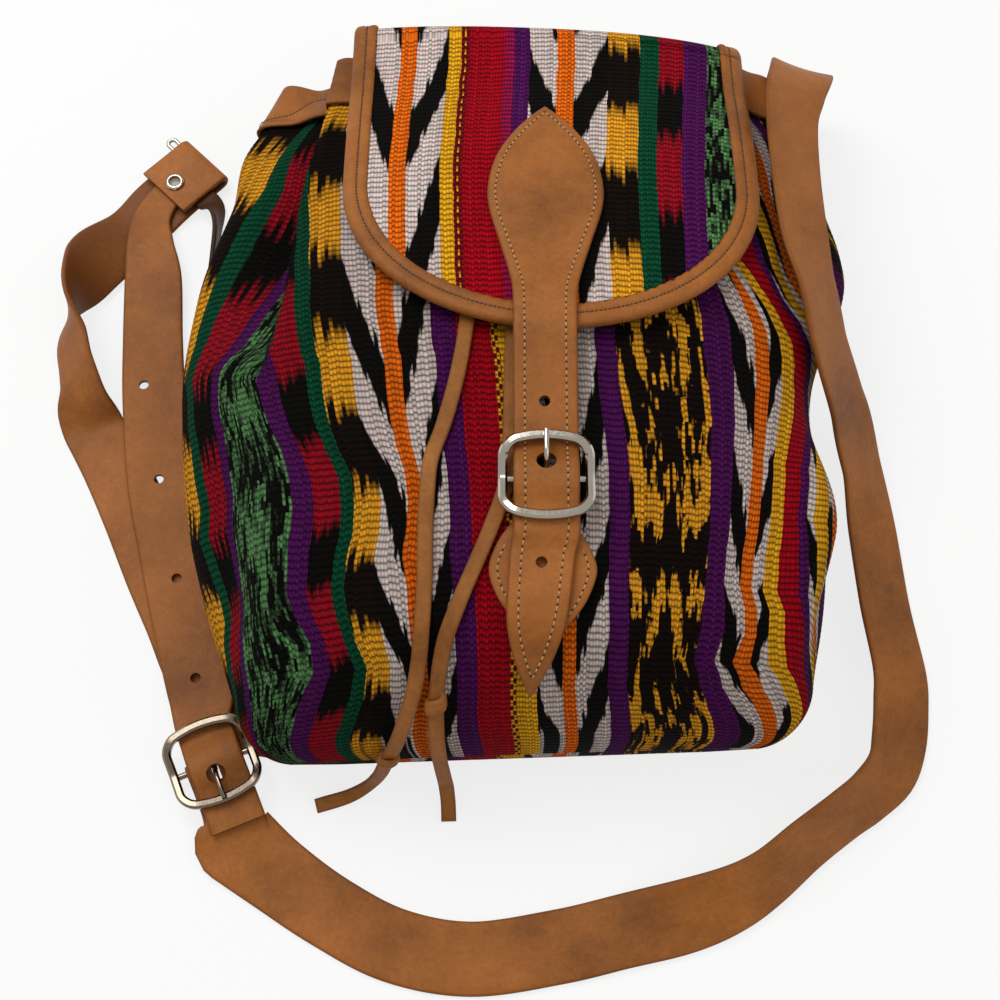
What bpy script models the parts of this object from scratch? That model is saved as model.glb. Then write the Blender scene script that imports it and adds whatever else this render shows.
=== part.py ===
"""Woven cloth bucket bag with a leather flap, collar, drawstring and one long strap, on its back.

The frame: X across the bag, Y from its bottom towards its mouth, Z up from the surface it lies on.
The origin is the middle of the flat back. All sizes below are in millimetres.
"""
import math

import bmesh
import bpy
from mathutils import Matrix, Vector

MM = 0.001
GAP = 0.35

# Bag body: the outline and the height of the front at some places along its length
BODY_STATIONS = (
    # y, left edge, right edge, height of the front
    (-162.0, -104.0, 113.0, 86.0),
    (-139.0, -107.0, 115.5, 88.0),
    (-80.0, -122.0, 127.5, 94.0),
    (-22.0, -133.0, 132.0, 94.0),
    (19.0, -128.0, 134.5, 90.0),
    (62.0, -119.0, 131.0, 84.0),
    (90.0, -116.0, 127.0, 76.0),
    (112.0, -106.0, 116.0, 68.0),
    (141.0, -96.0, 110.0, 62.0),
)
BODY_SIDES = 48
CLOTH_THICKNESS = 1.6
BOTTOM_Y = -163.0
BOTTOM_ROUND = 42.0
BOTTOM_CORNER = 20.0
BOTTOM_SEAM_Z = 26.0
SIDE_SEAM_SHARE = 0.42
BACK_FLAT_GAIN = 1.35
BACK_LIFT = 6.0
BACK_LIFT_START_Y = 84.0
BACK_LIFT_RUN = 24.0
SECTION_POWER = 0.84
CLOTH_TOP_Y = 116.0
GATHER_COUNT = 12
GATHER_DEPTH = 2.2
GATHER_START_Y = 45.0
GATHER_RUN = 55.0
FLANK_FOLD_DEPTH = 4.5
SMOOTH_FRONT_LEFT = -62.0
SMOOTH_FRONT_RIGHT = 88.0
BOTTOM_SKEW = 0.035
BOTTOM_SKEW_X = -40.0
STRAP_DENT_DEPTH = 13.0
STRAP_DENT_TURN = 12.0
STRAP_DENT_SPREAD = 62.0
STRAP_DENT_Y = -24.0
STRAP_DENT_REACH = 62.0

# Collar: the leather band that the mouth is sewn into
COLLAR_LOW_Y = 110.0
COLLAR_HEIGHT = 26.0
COLLAR_TOP_SLOPE = 0.03
COLLAR_THICKNESS = 2.0
SEAM_STRIP_WIDTH = 7.0
SEAM_STRIP_THICKNESS = 2.0
SEAM_STRIP_LENGTH = 62.0
SEAM_STRIP_GAP = 0.2

# Flap: cloth with a folded leather binding round its edge
FLAP_CENTRE_X = 15.6
FLAP_HALF_WIDTH = 83.0
FLAP_ROUND_Y = 55.0
FLAP_ROUND_DEPTH = 71.0
FLAP_LIFT = 6.2
FLAP_TURN_Y = 139.5
FLAP_TURN_DEPTH = 13.0
FLAP_TURN_SLOPE = -0.05
FLAP_BACK_Z = 1.6
FLAP_BACK_REACH = 14.0
BINDING_WIDTH = 10.0
BINDING_LEATHER = 1.3
BINDING_LAP = 2.2

# Leather straps
STRAP_WIDTH = 28.0
STRAP_THICKNESS = 2.2
SKIVED_THICKNESS = 1.4
HOLE_DIAMETER = 4.2
PRONG_HOLE_DIAMETER = 6.4

# Buckles: bowed centre-bar frames
BUCKLE_WIDTH = 35.0
BUCKLE_SIDE = 25.0
BUCKLE_BOW = 3.2
BUCKLE_CORNER = 5.0
BUCKLE_RAIL = 3.4
BUCKLE_BAR = 2.6
BAR_DROP = 4.8
PRONG_WIRE = 2.0

# Closure: leaf-ended strap on the flap, and the leaf patch that holds its buckle
CLOSURE_WIDTH = 24.0
PATCH_LOOP_WIDTH = 20.0

# Drawstring thongs
THONG_WIDTH = 6.0
THONG_THICKNESS = 1.5
KNOT_LENGTH = 9.0
KNOT_WIDTH = 9.5
KNOT_THICKNESS = 7.0

# Ring, eyelet and the folded end of the ring strap
RING_WIRE = 2.0
RING_WIDTH = 6.0
RING_OUT_END = 18.0
RING_IN_END = 8.0
EYELET_OUTER = 8.6
EYELET_HOLE = 5.0
EYELET_WALL = 0.4

# Where the two buckles lie: x, y and the turn of the width from the X axis, in degrees
STRAP_BUCKLE = (-117.6, -159.2, 22.6)
FRONT_BUCKLE = (11.8, -76.5, 0.0)
BUCKLE_BASE = 0.9
STRAP_BUCKLE_LIFT = 1.85

# Folded end of the ring strap: middle of its fold and the way it points
TAB_FOLD = (-139.3, 116.2)
TAB_HEADING = 45.0
TAB_REACH = 22.5
TAB_LOW_Z = 1.9
TAB_POCKET = 5.0
EYELET_FROM_FOLD = 15.8
EYELET_ACROSS = 0.2

# Strap routes: x, y, z of the middle, heading and lean of the width in degrees, then the width
LONG_STRAP_ROUTE = (
    (121.5, 88.0, 1.4, 90.0, 0.0, 28.0),
    (120.5, 106.0, 1.4, 90.0, 0.0, 28.0),
    (120.5, 124.0, 1.5, 90.0, -1.0, 28.0),
    (123.0, 136.5, 4.8, 90.0, -4.0, 28.0),
    (126.0, 142.5, 14.0, 90.0, -10.0, 28.0),
    (127.0, 143.5, 28.0, 90.0, -18.0, 28.0),
    (126.5, 139.0, 43.0, 90.0, -24.0, 28.0),
    (124.0, 130.5, 54.0, 90.0, -28.0, 28.0),
    (120.5, 119.0, 61.0, 91.0, -30.0, 28.0),
    (116.5, 102.0, 66.5, 92.0, -33.0, 28.0),
    (115.5, 72.0, 71.0, 91.0, -36.0, 28.0),
    (117.0, 38.0, 73.0, 88.0, -38.0, 28.0),
    (121.5, 17.0, 69.5, 84.0, -49.0, 28.0),
    (126.7, -2.0, 58.5, 83.0, -54.0, 28.0),
    (135.3, -19.0, 40.5, 82.0, -55.0, 28.0),
    (143.2, -38.0, 21.3, 83.0, -50.0, 28.0),
    (148.0, -64.0, 10.6, 85.0, -36.0, 28.0),
    (150.8, -95.0, 9.3, 86.0, -33.0, 28.0),
    (154.5, -122.0, 8.9, 89.0, -31.0, 28.0),
    (154.0, -136.0, 8.6, 90.0, -30.0, 28.0),
    (152.0, -150.0, 9.0, 84.0, -32.0, 28.0),
    (147.3, -163.0, 10.8, 75.0, -39.0, 28.0),
    (138.0, -173.0, 12.1, 70.0, -46.0, 28.0),
    (127.5, -181.0, 12.9, 63.0, -50.0, 28.0),
    (112.0, -192.6, 12.7, 53.0, -50.0, 28.0),
    (97.5, -204.4, 11.8, 41.0, -46.0, 28.0),
    (84.0, -212.0, 9.6, 30.0, -35.0, 28.0),
    (66.0, -218.0, 5.4, 20.0, -16.0, 28.0),
    (43.0, -223.0, 1.9, 12.0, 0.0, 28.0),
    (17.0, -229.0, 1.45, 6.0, 0.0, 28.0),
    (-16.0, -233.5, 1.35, -1.0, 0.0, 28.0),
    (-45.0, -228.5, 1.35, -13.0, 0.0, 28.0),
    (-70.0, -216.0, 1.35, -28.0, 0.0, 28.0),
    (-91.5, -201.5, 1.35, -42.0, 0.0, 29.5),
    (-107.0, -189.5, 3.0, -57.0, 0.0, 33.0),
)
HOLED_STRAP_TIP_WIDTH = 22.0
HOLED_STRAP_OFFSET = 1.2
PRONG_HOLE_ALONG = 5.1
HOLED_STRAP_ROUTE = (
    (-147.5, 107.5, 4.4, -133.0, 0.0, 13.0),
    (-154.0, 101.0, 4.4, -128.0, 0.0, 14.0),
    (-160.0, 88.0, 5.0, -102.0, 0.0, 17.0),
    (-159.5, 74.0, 6.4, -90.0, 0.0, 21.0),
    (-157.0, 57.0, 5.8, -86.0, 0.0, 25.0),
    (-155.3, 28.0, 4.2, -86.0, 0.0, 26.0),
    (-152.5, 0.0, 5.6, -84.0, 0.0, 27.0),
    (-147.5, -37.0, 4.0, -80.0, 0.0, 28.0),
    (-140.5, -67.0, 3.8, -77.0, 0.0, 28.0),
    (-132.5, -99.0, 3.8, -75.0, 0.0, 28.0),
    (-124.8, -128.0, 4.4, -73.0, 0.0, 27.0),
)
HOLED_STRAP_HOLES = (
    # x, y of each hole down the strap
    (-157.2, 5.5),
    (-148.0, -37.5),
    (-137.5, -81.5),
    (-127.0, -124.0),
)
RING_STRAP_ROUTE = (
    (-91.0, -142.5, 1.5, 166.0, 0.0, 28.0),
    (-97.0, -141.5, 1.3, 160.0, 0.0, 28.0),
    (-104.0, -140.0, 1.3, 150.0, 0.0, 28.0),
    (-112.0, -136.0, 1.3, 138.0, 0.0, 28.0),
    (-120.5, -128.0, 1.3, 122.0, 0.0, 28.0),
    (-128.0, -116.0, 1.2, 112.0, 0.0, 28.0),
    (-135.5, -99.0, 1.3, 110.0, 0.0, 28.0),
    (-145.5, -78.0, 1.3, 110.0, 0.0, 28.0),
    (-156.5, -53.0, 1.3, 112.0, 0.0, 28.0),
    (-167.0, -32.0, 1.35, 112.0, 0.0, 27.0),
    (-174.8, -18.5, 1.4, 111.0, 0.0, 26.0),
    (-178.4, -12.0, 2.0, 110.0, 1.0, 26.0),
    (-181.8, -4.0, 7.9, 106.0, 27.0, 25.5),
    (-183.6, 4.0, 10.7, 103.0, 42.0, 25.5),
    (-186.0, 13.0, 11.7, 99.0, 50.0, 26.0),
    (-188.8, 27.0, 12.9, 94.0, 57.0, 27.0),
    (-189.0, 42.0, 15.2, 82.0, 92.0, 28.0),
    (-185.5, 54.0, 13.5, 68.0, 122.0, 28.0),
    (-180.5, 66.5, 8.4, 54.0, 150.0, 28.0),
    (-168.5, 82.5, 1.6, 48.0, 179.0, 28.0),
    (-158.0, 96.0, TAB_LOW_Z, 47.0, 180.0, 28.0),
    (-147.0, 108.3, TAB_LOW_Z, TAB_HEADING, 180.0, 28.0),
)
HANGER_STRIP_ROUTE = (
    (-139.6, 101.0, 4.4, -45.0, 0.0, 11.0),
    (-136.4, 98.0, 4.4, -45.0, 0.0, 11.0),
    (-133.8, 95.4, 4.8, -50.0, 18.0, 11.0),
    (-131.5, 91.0, 5.8, -70.0, 60.0, 11.5),
    (-130.5, 83.0, 6.5, -88.0, 86.0, 12.0),
    (-130.7, 70.0, 6.5, -91.0, 90.0, 12.0),
    (-132.0, 47.0, 6.5, -95.0, 90.0, 12.0),
    (-135.0, 27.0, 6.5, -96.0, 90.0, 12.0),
    (-135.5, 12.0, 6.5, -75.0, 90.0, 12.0),
    (-129.0, -1.0, 6.5, -52.0, 90.0, 12.0),
    (-123.0, -6.5, 6.5, -42.0, 90.0, 12.0),
)

# Closure strap and its patch down the front: x, y, height over the cloth below, then the width
CLOSURE_ROUTE = (
    (13.2, 92.0, 8.6, 1.5),
    (13.1, 89.0, 8.6, 8.0),
    (13.0, 78.0, 8.6, 25.0),
    (12.9, 64.0, 8.6, 39.0),
    (12.8, 50.0, 8.6, 45.0),
    (12.6, 38.0, 8.6, 44.0),
    (12.3, 22.0, 8.6, 35.5),
    (12.1, 8.0, 9.2, 28.0),
    (11.9, -2.0, 10.5, 24.6),
    (11.8, -18.0, 10.5, 24.0),
    (11.8, -28.0, 8.6, 24.0),
    (11.8, -42.0, 6.0, 24.0),
)
CLOSURE_TAIL_ROUTE = (
    (10.4, -103.0, 4.3, 23.5),
    (8.6, -121.0, 4.3, 22.5),
    (7.5, -132.0, 4.3, 20.0),
    (6.7, -142.0, 3.9, 12.5),
    (5.9, -150.0, 3.3, 2.0),
)
CLOSURE_HOLES = (
    # x, y of each hole down the strap
    (11.4, -46.5),
    (11.0, -91.5),
    (9.8, -108.0),
)
PATCH_ROUTE = (
    (11.0, -136.0, 1.4, 2.0),
    (10.8, -130.0, 1.4, 16.0),
    (10.6, -121.0, 1.4, 31.0),
    (10.4, -110.0, 1.4, 39.0),
    (10.7, -101.0, 1.5, 34.0),
    (11.2, -95.5, 1.8, 27.0),
)

# Drawstring thongs: x, y, height of the middle over the cloth and the way the thong faces, in
# degrees from straight up towards the bag's bottom; where they leave the cloth the third value is z
LEFT_THONG_ROUTE = (
    (-8.0, 105.0, 1.3, 0.0),
    (-9.5, 85.0, 1.3, 0.0),
    (-12.0, 55.0, 1.3, 0.0),
    (-15.0, 20.0, 1.3, 0.0),
    (-18.0, -14.0, 1.3, 0.0),
    (-21.5, -36.0, 1.3, 0.0),
    (-26.0, -54.0, 1.3, 0.0),
    (-30.5, -68.0, 1.3, 0.0),
    (-32.0, -92.0, 1.3, 0.0),
    (-32.0, -112.0, 1.6, 0.0),
    (-33.0, -130.0, 1.9, 15.0),
    (-34.0, -140.0, 2.3, 30.0),
)
LEFT_THONG_FALL = (
    (-36.0, -150.0, 76.5, 50.0),
    (-39.5, -158.0, 66.0, 65.0),
    (-43.0, -163.0, 54.0, 75.0),
    (-45.5, -165.0, 45.5, 80.0),
)
LEFT_KNOT = (-47.0, -166.0, 40.0)
LEFT_TAIL = (
    (-48.6, -167.0, 34.5, 85.0),
    (-51.0, -167.8, 24.0, 85.0),
    (-55.5, -169.0, 13.0, 75.0),
    (-63.5, -171.5, 4.6, 40.0),
    (-77.0, -175.0, 1.4, 5.0),
)
RIGHT_THONG_ROUTE = (
    (6.0, 105.0, 1.3, 0.0),
    (5.0, 80.0, 1.3, 0.0),
    (3.0, 45.0, 1.3, 0.0),
    (1.0, 10.0, 1.3, 0.0),
    (-0.5, -25.0, 1.3, 0.0),
    (-1.0, -52.0, 1.3, 0.0),
    (-2.6, -76.0, 1.3, 0.0),
    (-7.6, -92.0, 1.3, 0.0),
    (-14.2, -108.0, 1.3, 0.0),
    (-20.0, -122.0, 1.7, 5.0),
    (-24.6, -134.0, 1.9, 20.0),
    (-26.5, -142.0, 2.3, 33.0),
    (-27.8, -149.0, 2.9, 45.0),
)
RIGHT_THONG_FALL = ()
RIGHT_KNOT = (-28.3, -154.5, 70.5)
RIGHT_TAIL = (
    (-28.2, -159.2, 65.8, 60.0),
    (-28.0, -163.5, 57.0, 72.0),
    (-27.4, -166.8, 44.0, 82.0),
    (-26.3, -169.2, 26.0, 85.0),
    (-25.6, -171.0, 11.0, 75.0),
    (-25.2, -175.0, 3.5, 40.0),
    (-25.0, -181.0, 1.4, 10.0),
)


def smooth(value):
    """Ease from 0 to 1 for a value between 0 and 1."""
    value = max(0.0, min(1.0, value))
    return value * value * (3.0 - 2.0 * value)


def along_rows(rows, step):
    """Rows read every step along the smooth curve through the given rows."""
    padded = [rows[0], *rows, rows[-1]]
    result = []
    for index in range(1, len(padded) - 2):
        p0, p1, p2, p3 = padded[index - 1:index + 3]
        length = math.dist(p1[:3], p2[:3])
        count = max(1, round(length / step))
        for part in range(count):
            t = part / count
            result.append(tuple(
                0.5 * (2 * b + (c - a) * t + (2 * a - 5 * b + 4 * c - d) * t * t
                       + (3 * b - a - 3 * c + d) * t ** 3)
                for a, b, c, d in zip(p0, p1, p2, p3)))
    result.append(tuple(rows[-1]))
    return result


def station(y):
    """Left edge, right edge and front height of the body at y."""
    rows = BODY_STATIONS
    y = max(rows[0][0], min(rows[-1][0], y))
    index = next(i for i in range(len(rows) - 1) if y <= rows[i + 1][0])
    low, high = rows[index], rows[index + 1]
    before = rows[max(0, index - 1)]
    after = rows[min(len(rows) - 1, index + 2)]
    span = high[0] - low[0]
    t = (y - low[0]) / span
    values = []
    for column in (1, 2, 3):
        slope_low = (high[column] - before[column]) / (high[0] - before[0]) * span
        slope_high = (after[column] - low[column]) / (after[0] - low[0]) * span
        values.append(low[column] * (1 + 2 * t) * (1 - t) ** 2 + slope_low * t * (1 - t) ** 2
                      + high[column] * t * t * (3 - 2 * t) + slope_high * t * t * (t - 1))
    return values


def section(y):
    """Middle x, half width, top, bottom and side height of the body's section at y."""
    left, right, top = station(y)
    bottom = BACK_LIFT * smooth((y - BACK_LIFT_START_Y) / BACK_LIFT_RUN)
    into_round = BOTTOM_Y + BOTTOM_ROUND - y
    if into_round > 0.0:
        fullness = math.sqrt(max(0.0, 1.0 - (into_round / BOTTOM_ROUND) ** 2))
        top = BOTTOM_SEAM_Z + (top - BOTTOM_SEAM_Z) * fullness
        bottom = BOTTOM_SEAM_Z * (1.0 - fullness)
    half = (right - left) / 2.0
    into_corner = BOTTOM_Y + BOTTOM_CORNER - y
    if into_corner > 0.0:
        half -= BOTTOM_CORNER * (1.0 - math.sqrt(max(0.0, 1.0 - (into_corner / BOTTOM_CORNER) ** 2)))
    middle = bottom + SIDE_SEAM_SHARE * (top - bottom)
    return (left + right) / 2.0, half, top, bottom, middle


def front_z(x, y):
    """Height of the smooth front of the body over a place."""
    centre, half, top, bottom, middle = section(y)
    share = min(0.999, abs(x - centre) / half)
    sine = math.sqrt(1.0 - share ** (2.0 / SECTION_POWER))
    return middle + (top - middle) * sine ** SECTION_POWER


def fold_depth(turn, x, y):
    """How far the gathers and the soft side folds move the cloth outwards."""
    side = smooth((SMOOTH_FRONT_LEFT - x) / 26.0) + smooth((x - SMOOTH_FRONT_RIGHT) / 26.0)
    gathered = smooth((y - GATHER_START_Y) / GATHER_RUN)
    gathers = -GATHER_DEPTH * gathered * math.cos(GATHER_COUNT * turn)
    fading = smooth((y - BOTTOM_Y) / 60.0)
    folds = FLANK_FOLD_DEPTH * (1.0 - gathered) * fading * math.sin(7.0 * turn + y / 46.0)
    pressed = smooth(1.0 - abs(y - STRAP_DENT_Y) / STRAP_DENT_REACH)
    off_turn = abs(math.degrees(turn) - STRAP_DENT_TURN) / STRAP_DENT_SPREAD
    return side * (gathers + folds * (1.0 - pressed)) - STRAP_DENT_DEPTH * pressed * smooth(1.0 - off_turn)


def body_point(turn, y, outward=0.0):
    """Point on the outside of the body's section at a turn angle, moved outward if asked."""
    centre, half, top, bottom, middle = section(y)
    cosine, sine = math.cos(turn), math.sin(turn)
    x = centre + half * math.copysign(abs(cosine) ** SECTION_POWER, cosine)
    rise = abs(sine) ** SECTION_POWER
    reach = top - middle
    above_back = 1.0
    if sine < 0.0:
        rise = -min(1.0, BACK_FLAT_GAIN * rise)
        reach = middle - bottom
        above_back = smooth((1.0 + rise) / 0.3)
    slope = 2.0 - SECTION_POWER
    away = Vector((math.copysign(abs(cosine) ** slope, cosine) / half, 0.0,
                   math.copysign(abs(sine) ** slope, sine) / max(1.0, reach)))
    if sine < 0.0:
        away.z /= BACK_FLAT_GAIN
        if rise <= -1.0:
            away = Vector((0.0, 0.0, -1.0))
    away.normalize()
    away *= outward + above_back * fold_depth(turn, x, y)
    return Vector((x, y, middle + rise * reach)) + away


def new_object(name, mesh, collection):
    """Object for a mesh, linked into a collection."""
    made = bpy.data.objects.new(name, mesh)
    collection.objects.link(made)
    return made


def mesh_of(name, vertices, faces):
    """Mesh in metres from points in millimetres, its faces turned outwards."""
    mesh = bpy.data.meshes.new(name)
    mesh.from_pydata([Vector(point) * MM for point in vertices], [], faces)
    shape = bmesh.new()
    shape.from_mesh(mesh)
    bmesh.ops.recalc_face_normals(shape, faces=shape.faces)
    shape.to_mesh(mesh)
    shape.free()
    return mesh


def loft(name, rings, collection, closed_path=False):
    """Solid through a row of like rings, with flat ends unless the row closes on itself."""
    sides = len(rings[0])
    vertices = [point for ring in rings for point in ring]
    faces = []
    spans = len(rings) if closed_path else len(rings) - 1
    for row in range(spans):
        here, there = row * sides, (row + 1) % len(rings) * sides
        for side in range(sides):
            following = (side + 1) % sides
            faces.append((here + side, here + following, there + following, there + side))
    if not closed_path:
        faces.append(tuple(range(sides)))
        faces.append(tuple(range(len(vertices) - sides, len(vertices))))
    return new_object(name, mesh_of(name, vertices, faces), collection)


def band(name, frames, collection):
    """Flat leather band through frames of middle, width direction, width and thickness."""
    rings = []
    for index, (middle, lateral, width, thickness) in enumerate(frames):
        before = frames[max(0, index - 1)][0]
        after = frames[min(len(frames) - 1, index + 1)][0]
        tangent = (after - before).normalized()
        across = (lateral - tangent * lateral.dot(tangent)).normalized()
        half = across * width / 2.0
        rise = across.cross(tangent) * thickness / 2.0
        rings.append([middle - half + rise, middle + rise, middle + half + rise,
                      middle + half - rise, middle - rise, middle - half - rise])
    return loft(name, rings, collection)


def lateral_of(heading, lean):
    """Direction of a band's width from its heading and its lean, in degrees."""
    heading, lean = math.radians(heading), math.radians(lean)
    side = Vector((math.sin(heading), -math.cos(heading), 0.0))
    return side * math.cos(lean) + Vector((0.0, 0.0, math.sin(lean)))


def floor_frames(route, step=9.0, thickness=STRAP_THICKNESS):
    """Frames of a strap along a route on or near the floor."""
    return [(Vector(row[:3]), lateral_of(row[3], row[4]), row[5], thickness)
            for row in along_rows(route, step)]


def front_frames(route, step=8.0, thickness=STRAP_THICKNESS):
    """Frames of a strap that follows the front of the bag at given heights over the cloth."""
    lifted = [(x, y, front_z(x, y) + height, width) for x, y, height, width in route]
    return [(Vector(row[:3]), Vector((1.0, 0.0, 0.0)), row[3], thickness)
            for row in along_rows(lifted, step)]


def buckle_axes(buckle):
    """Directions across and along the strap at a buckle."""
    turn = math.radians(buckle[2])
    across = Vector((math.cos(turn), math.sin(turn), 0.0))
    return across, Vector((-across.y, across.x, 0.0))


def buckle_point(buckle, base, across, along, height):
    """Point given across and along a strap from the middle of its buckle."""
    side, forward = buckle_axes(buckle)
    return Vector((buckle[0], buckle[1], base + height)) + side * across + forward * along


def bar_height():
    """Height of a buckle's centre bar over what the buckle lies on."""
    return BUCKLE_BASE + SKIVED_THICKNESS + GAP + BUCKLE_BAR / 2.0


def buckle_frames(buckle, base, rows, offset=0.0, lateral_sign=1.0):
    """Frames near a buckle from rows of along, height, width and thickness."""
    side, _ = buckle_axes(buckle)
    return [(buckle_point(buckle, base, offset, along, height), side * lateral_sign, width, thickness)
            for along, height, width, thickness in rows]


def loop_rows(width):
    """Rows of a skived strap end that comes from below, goes over the bar and back under."""
    bar = bar_height()
    radius = BUCKLE_BAR / 2.0 + GAP + SKIVED_THICKNESS / 2.0
    low = BUCKLE_BASE + SKIVED_THICKNESS / 2.0
    rows = [(-13.0, low + SKIVED_THICKNESS + GAP, width, SKIVED_THICKNESS),
            (-8.0, low + SKIVED_THICKNESS + 1.4 * GAP, width, SKIVED_THICKNESS),
            (-4.0, bar + 0.55 * radius, width, SKIVED_THICKNESS)]
    for degrees in (90, 60, 30, 0, -30, -60, -90):
        angle = math.radians(degrees)
        rows.append((radius * math.cos(angle), bar + radius * math.sin(angle), width, SKIVED_THICKNESS))
    rows += [(-5.0, low, width, SKIVED_THICKNESS), (-11.5, low, width, SKIVED_THICKNESS)]
    return rows


def threaded_rows(width, start, end):
    """Rows of a strap that passes under both rails of a buckle and over its bar."""
    bar = bar_height()
    wave = ((14.0, 1.1), (11.5, 1.25), (9.0, 2.2), (6.0, 3.8), (3.0, 5.0), (0.0, 5.3),
            (-3.0, 5.0), (-6.0, 3.9), (-9.0, 2.5), (-11.5, 1.65), (-14.0, 1.6))
    return [(along, bar + rise, width, STRAP_THICKNESS) for along, rise in (*start, *wave, *end)]


def tube(name, points, diameter, collection, closed=False, resolution=2):
    """Round wire or cord through points, as a closed mesh."""
    curve = bpy.data.curves.new(name, "CURVE")
    curve.dimensions = "3D"
    curve.bevel_depth = diameter / 2.0 * MM
    curve.bevel_resolution = resolution
    curve.use_fill_caps = not closed
    spline = curve.splines.new("POLY")
    spline.points.add(len(points) - 1)
    for target, point in zip(spline.points, points):
        target.co = (*(Vector(point) * MM), 1.0)
    spline.use_cyclic_u = closed
    drawn = new_object(name + "_curve", curve, collection)
    bpy.context.view_layer.update()
    graph = bpy.context.evaluated_depsgraph_get()
    mesh = bpy.data.meshes.new_from_object(drawn.evaluated_get(graph))
    bpy.data.objects.remove(drawn)
    shape = bmesh.new()
    shape.from_mesh(mesh)
    bmesh.ops.remove_doubles(shape, verts=shape.verts, dist=0.00001)
    bmesh.ops.recalc_face_normals(shape, faces=shape.faces)
    shape.to_mesh(mesh)
    shape.free()
    return new_object(name, mesh, collection)


def cylinder(name, middle, axis, diameter, length, collection, sides=12):
    """Plain cylinder about an axis."""
    mesh = bpy.data.meshes.new(name)
    shape = bmesh.new()
    bmesh.ops.create_cone(shape, cap_ends=True, segments=sides, radius1=diameter / 2.0 * MM,
                          radius2=diameter / 2.0 * MM, depth=length * MM)
    shape.to_mesh(mesh)
    shape.free()
    made = new_object(name, mesh, collection)
    turn = Vector((0.0, 0.0, 1.0)).rotation_difference(Vector(axis)).to_matrix().to_4x4()
    made.matrix_world = Matrix.Translation(Vector(middle) * MM) @ turn
    return made


def combine(target, tool, operation):
    """Add an exact Boolean with another object to a piece."""
    modifier = target.modifiers.new(tool.name, "BOOLEAN")
    modifier.operation = operation
    modifier.object = tool
    modifier.solver = "EXACT"
    tool.hide_render = True
    tool.display_type = "WIRE"


def paint(made, colour, roughness, metallic=0.0):
    """Give a piece its own plain material."""
    material = bpy.data.materials.new(made.name)
    material.use_nodes = True
    shader = material.node_tree.nodes["Principled BSDF"]
    shader.inputs["Base Color"].default_value = (*colour, 1.0)
    shader.inputs["Roughness"].default_value = roughness
    shader.inputs["Metallic"].default_value = metallic
    made.data.materials.clear()
    made.data.materials.append(material)


TAN = (0.40, 0.16, 0.055)
DARK_TAN = (0.17, 0.065, 0.02)
CLOTH_RED = (0.22, 0.012, 0.02)
NICKEL = (0.62, 0.58, 0.53)


def body_rows():
    """Places along the bag where its cloth has a row of points."""
    rows = []
    for degrees in (13.0, 28.0, 45.0, 62.0, 78.0):
        rows.append(BOTTOM_Y + BOTTOM_ROUND * (1.0 - math.cos(math.radians(degrees))))
    start = BOTTOM_Y + BOTTOM_ROUND
    steps = 9
    for index in range(steps):
        share = index / steps
        rows.append(start + (COLLAR_LOW_Y - start) * (1.2 * share - 0.2 * share * share))
    return rows + [COLLAR_LOW_Y, CLOTH_TOP_Y]


def ring_at(y, outward=0.0, slope=0.0):
    """Ring of points round the bag's section."""
    ring = []
    for side in range(BODY_SIDES):
        turn = 2.0 * math.pi * (side + 0.5) / BODY_SIDES
        level = y + slope * min(0.0, body_point(turn, y).x)
        point = body_point(turn, level, outward)
        point.y += BOTTOM_SKEW * (point.x - BOTTOM_SKEW_X) * smooth((-70.0 - y) / 90.0)
        ring.append(point)
    return ring


def shell(name, rings, thickness, collection):
    """Cloth tube through rings, closed at its first ring, made solid inwards."""
    sides = len(rings[0])
    vertices = [point for ring in rings for point in ring]
    faces = [tuple(range(sides))]
    for row in range(len(rings) - 1):
        here, there = row * sides, (row + 1) * sides
        for side in range(sides):
            following = (side + 1) % sides
            faces.append((here + side, here + following, there + following, there + side))
    made = new_object(name, mesh_of(name, vertices, faces), collection)
    if made.data.polygons[0].normal.y > 0.0:
        made.data.flip_normals()
    solid = made.modifiers.new("thickness", "SOLIDIFY")
    solid.thickness = thickness * MM
    solid.offset = -1.0
    solid.use_even_offset = True
    return made


def make_body(parts):
    """Cloth of the bag: one tube, closed at the bottom and open at the mouth."""
    rings = [ring_at(y, 0.0, COLLAR_TOP_SLOPE * smooth((y - 60.0) / 40.0)) for y in body_rows()]
    made = shell("bag_cloth", rings, CLOTH_THICKNESS, parts)
    paint(made, CLOTH_RED, 0.85)


def make_collar(parts):
    """Leather collar sewn over the top edge of the cloth."""
    top = COLLAR_LOW_Y + COLLAR_HEIGHT
    rows = [COLLAR_LOW_Y, CLOTH_TOP_Y, (CLOTH_TOP_Y + top) / 2.0, top]
    outer = [ring_at(y, 1.3 * GAP + COLLAR_THICKNESS, COLLAR_TOP_SLOPE) for y in rows]
    inner = [ring_at(y, 1.3 * GAP, COLLAR_TOP_SLOPE) for y in reversed(rows)]
    made = loft("leather_collar", outer + inner, parts, closed_path=True)
    paint(made, TAN, 0.55)


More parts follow.
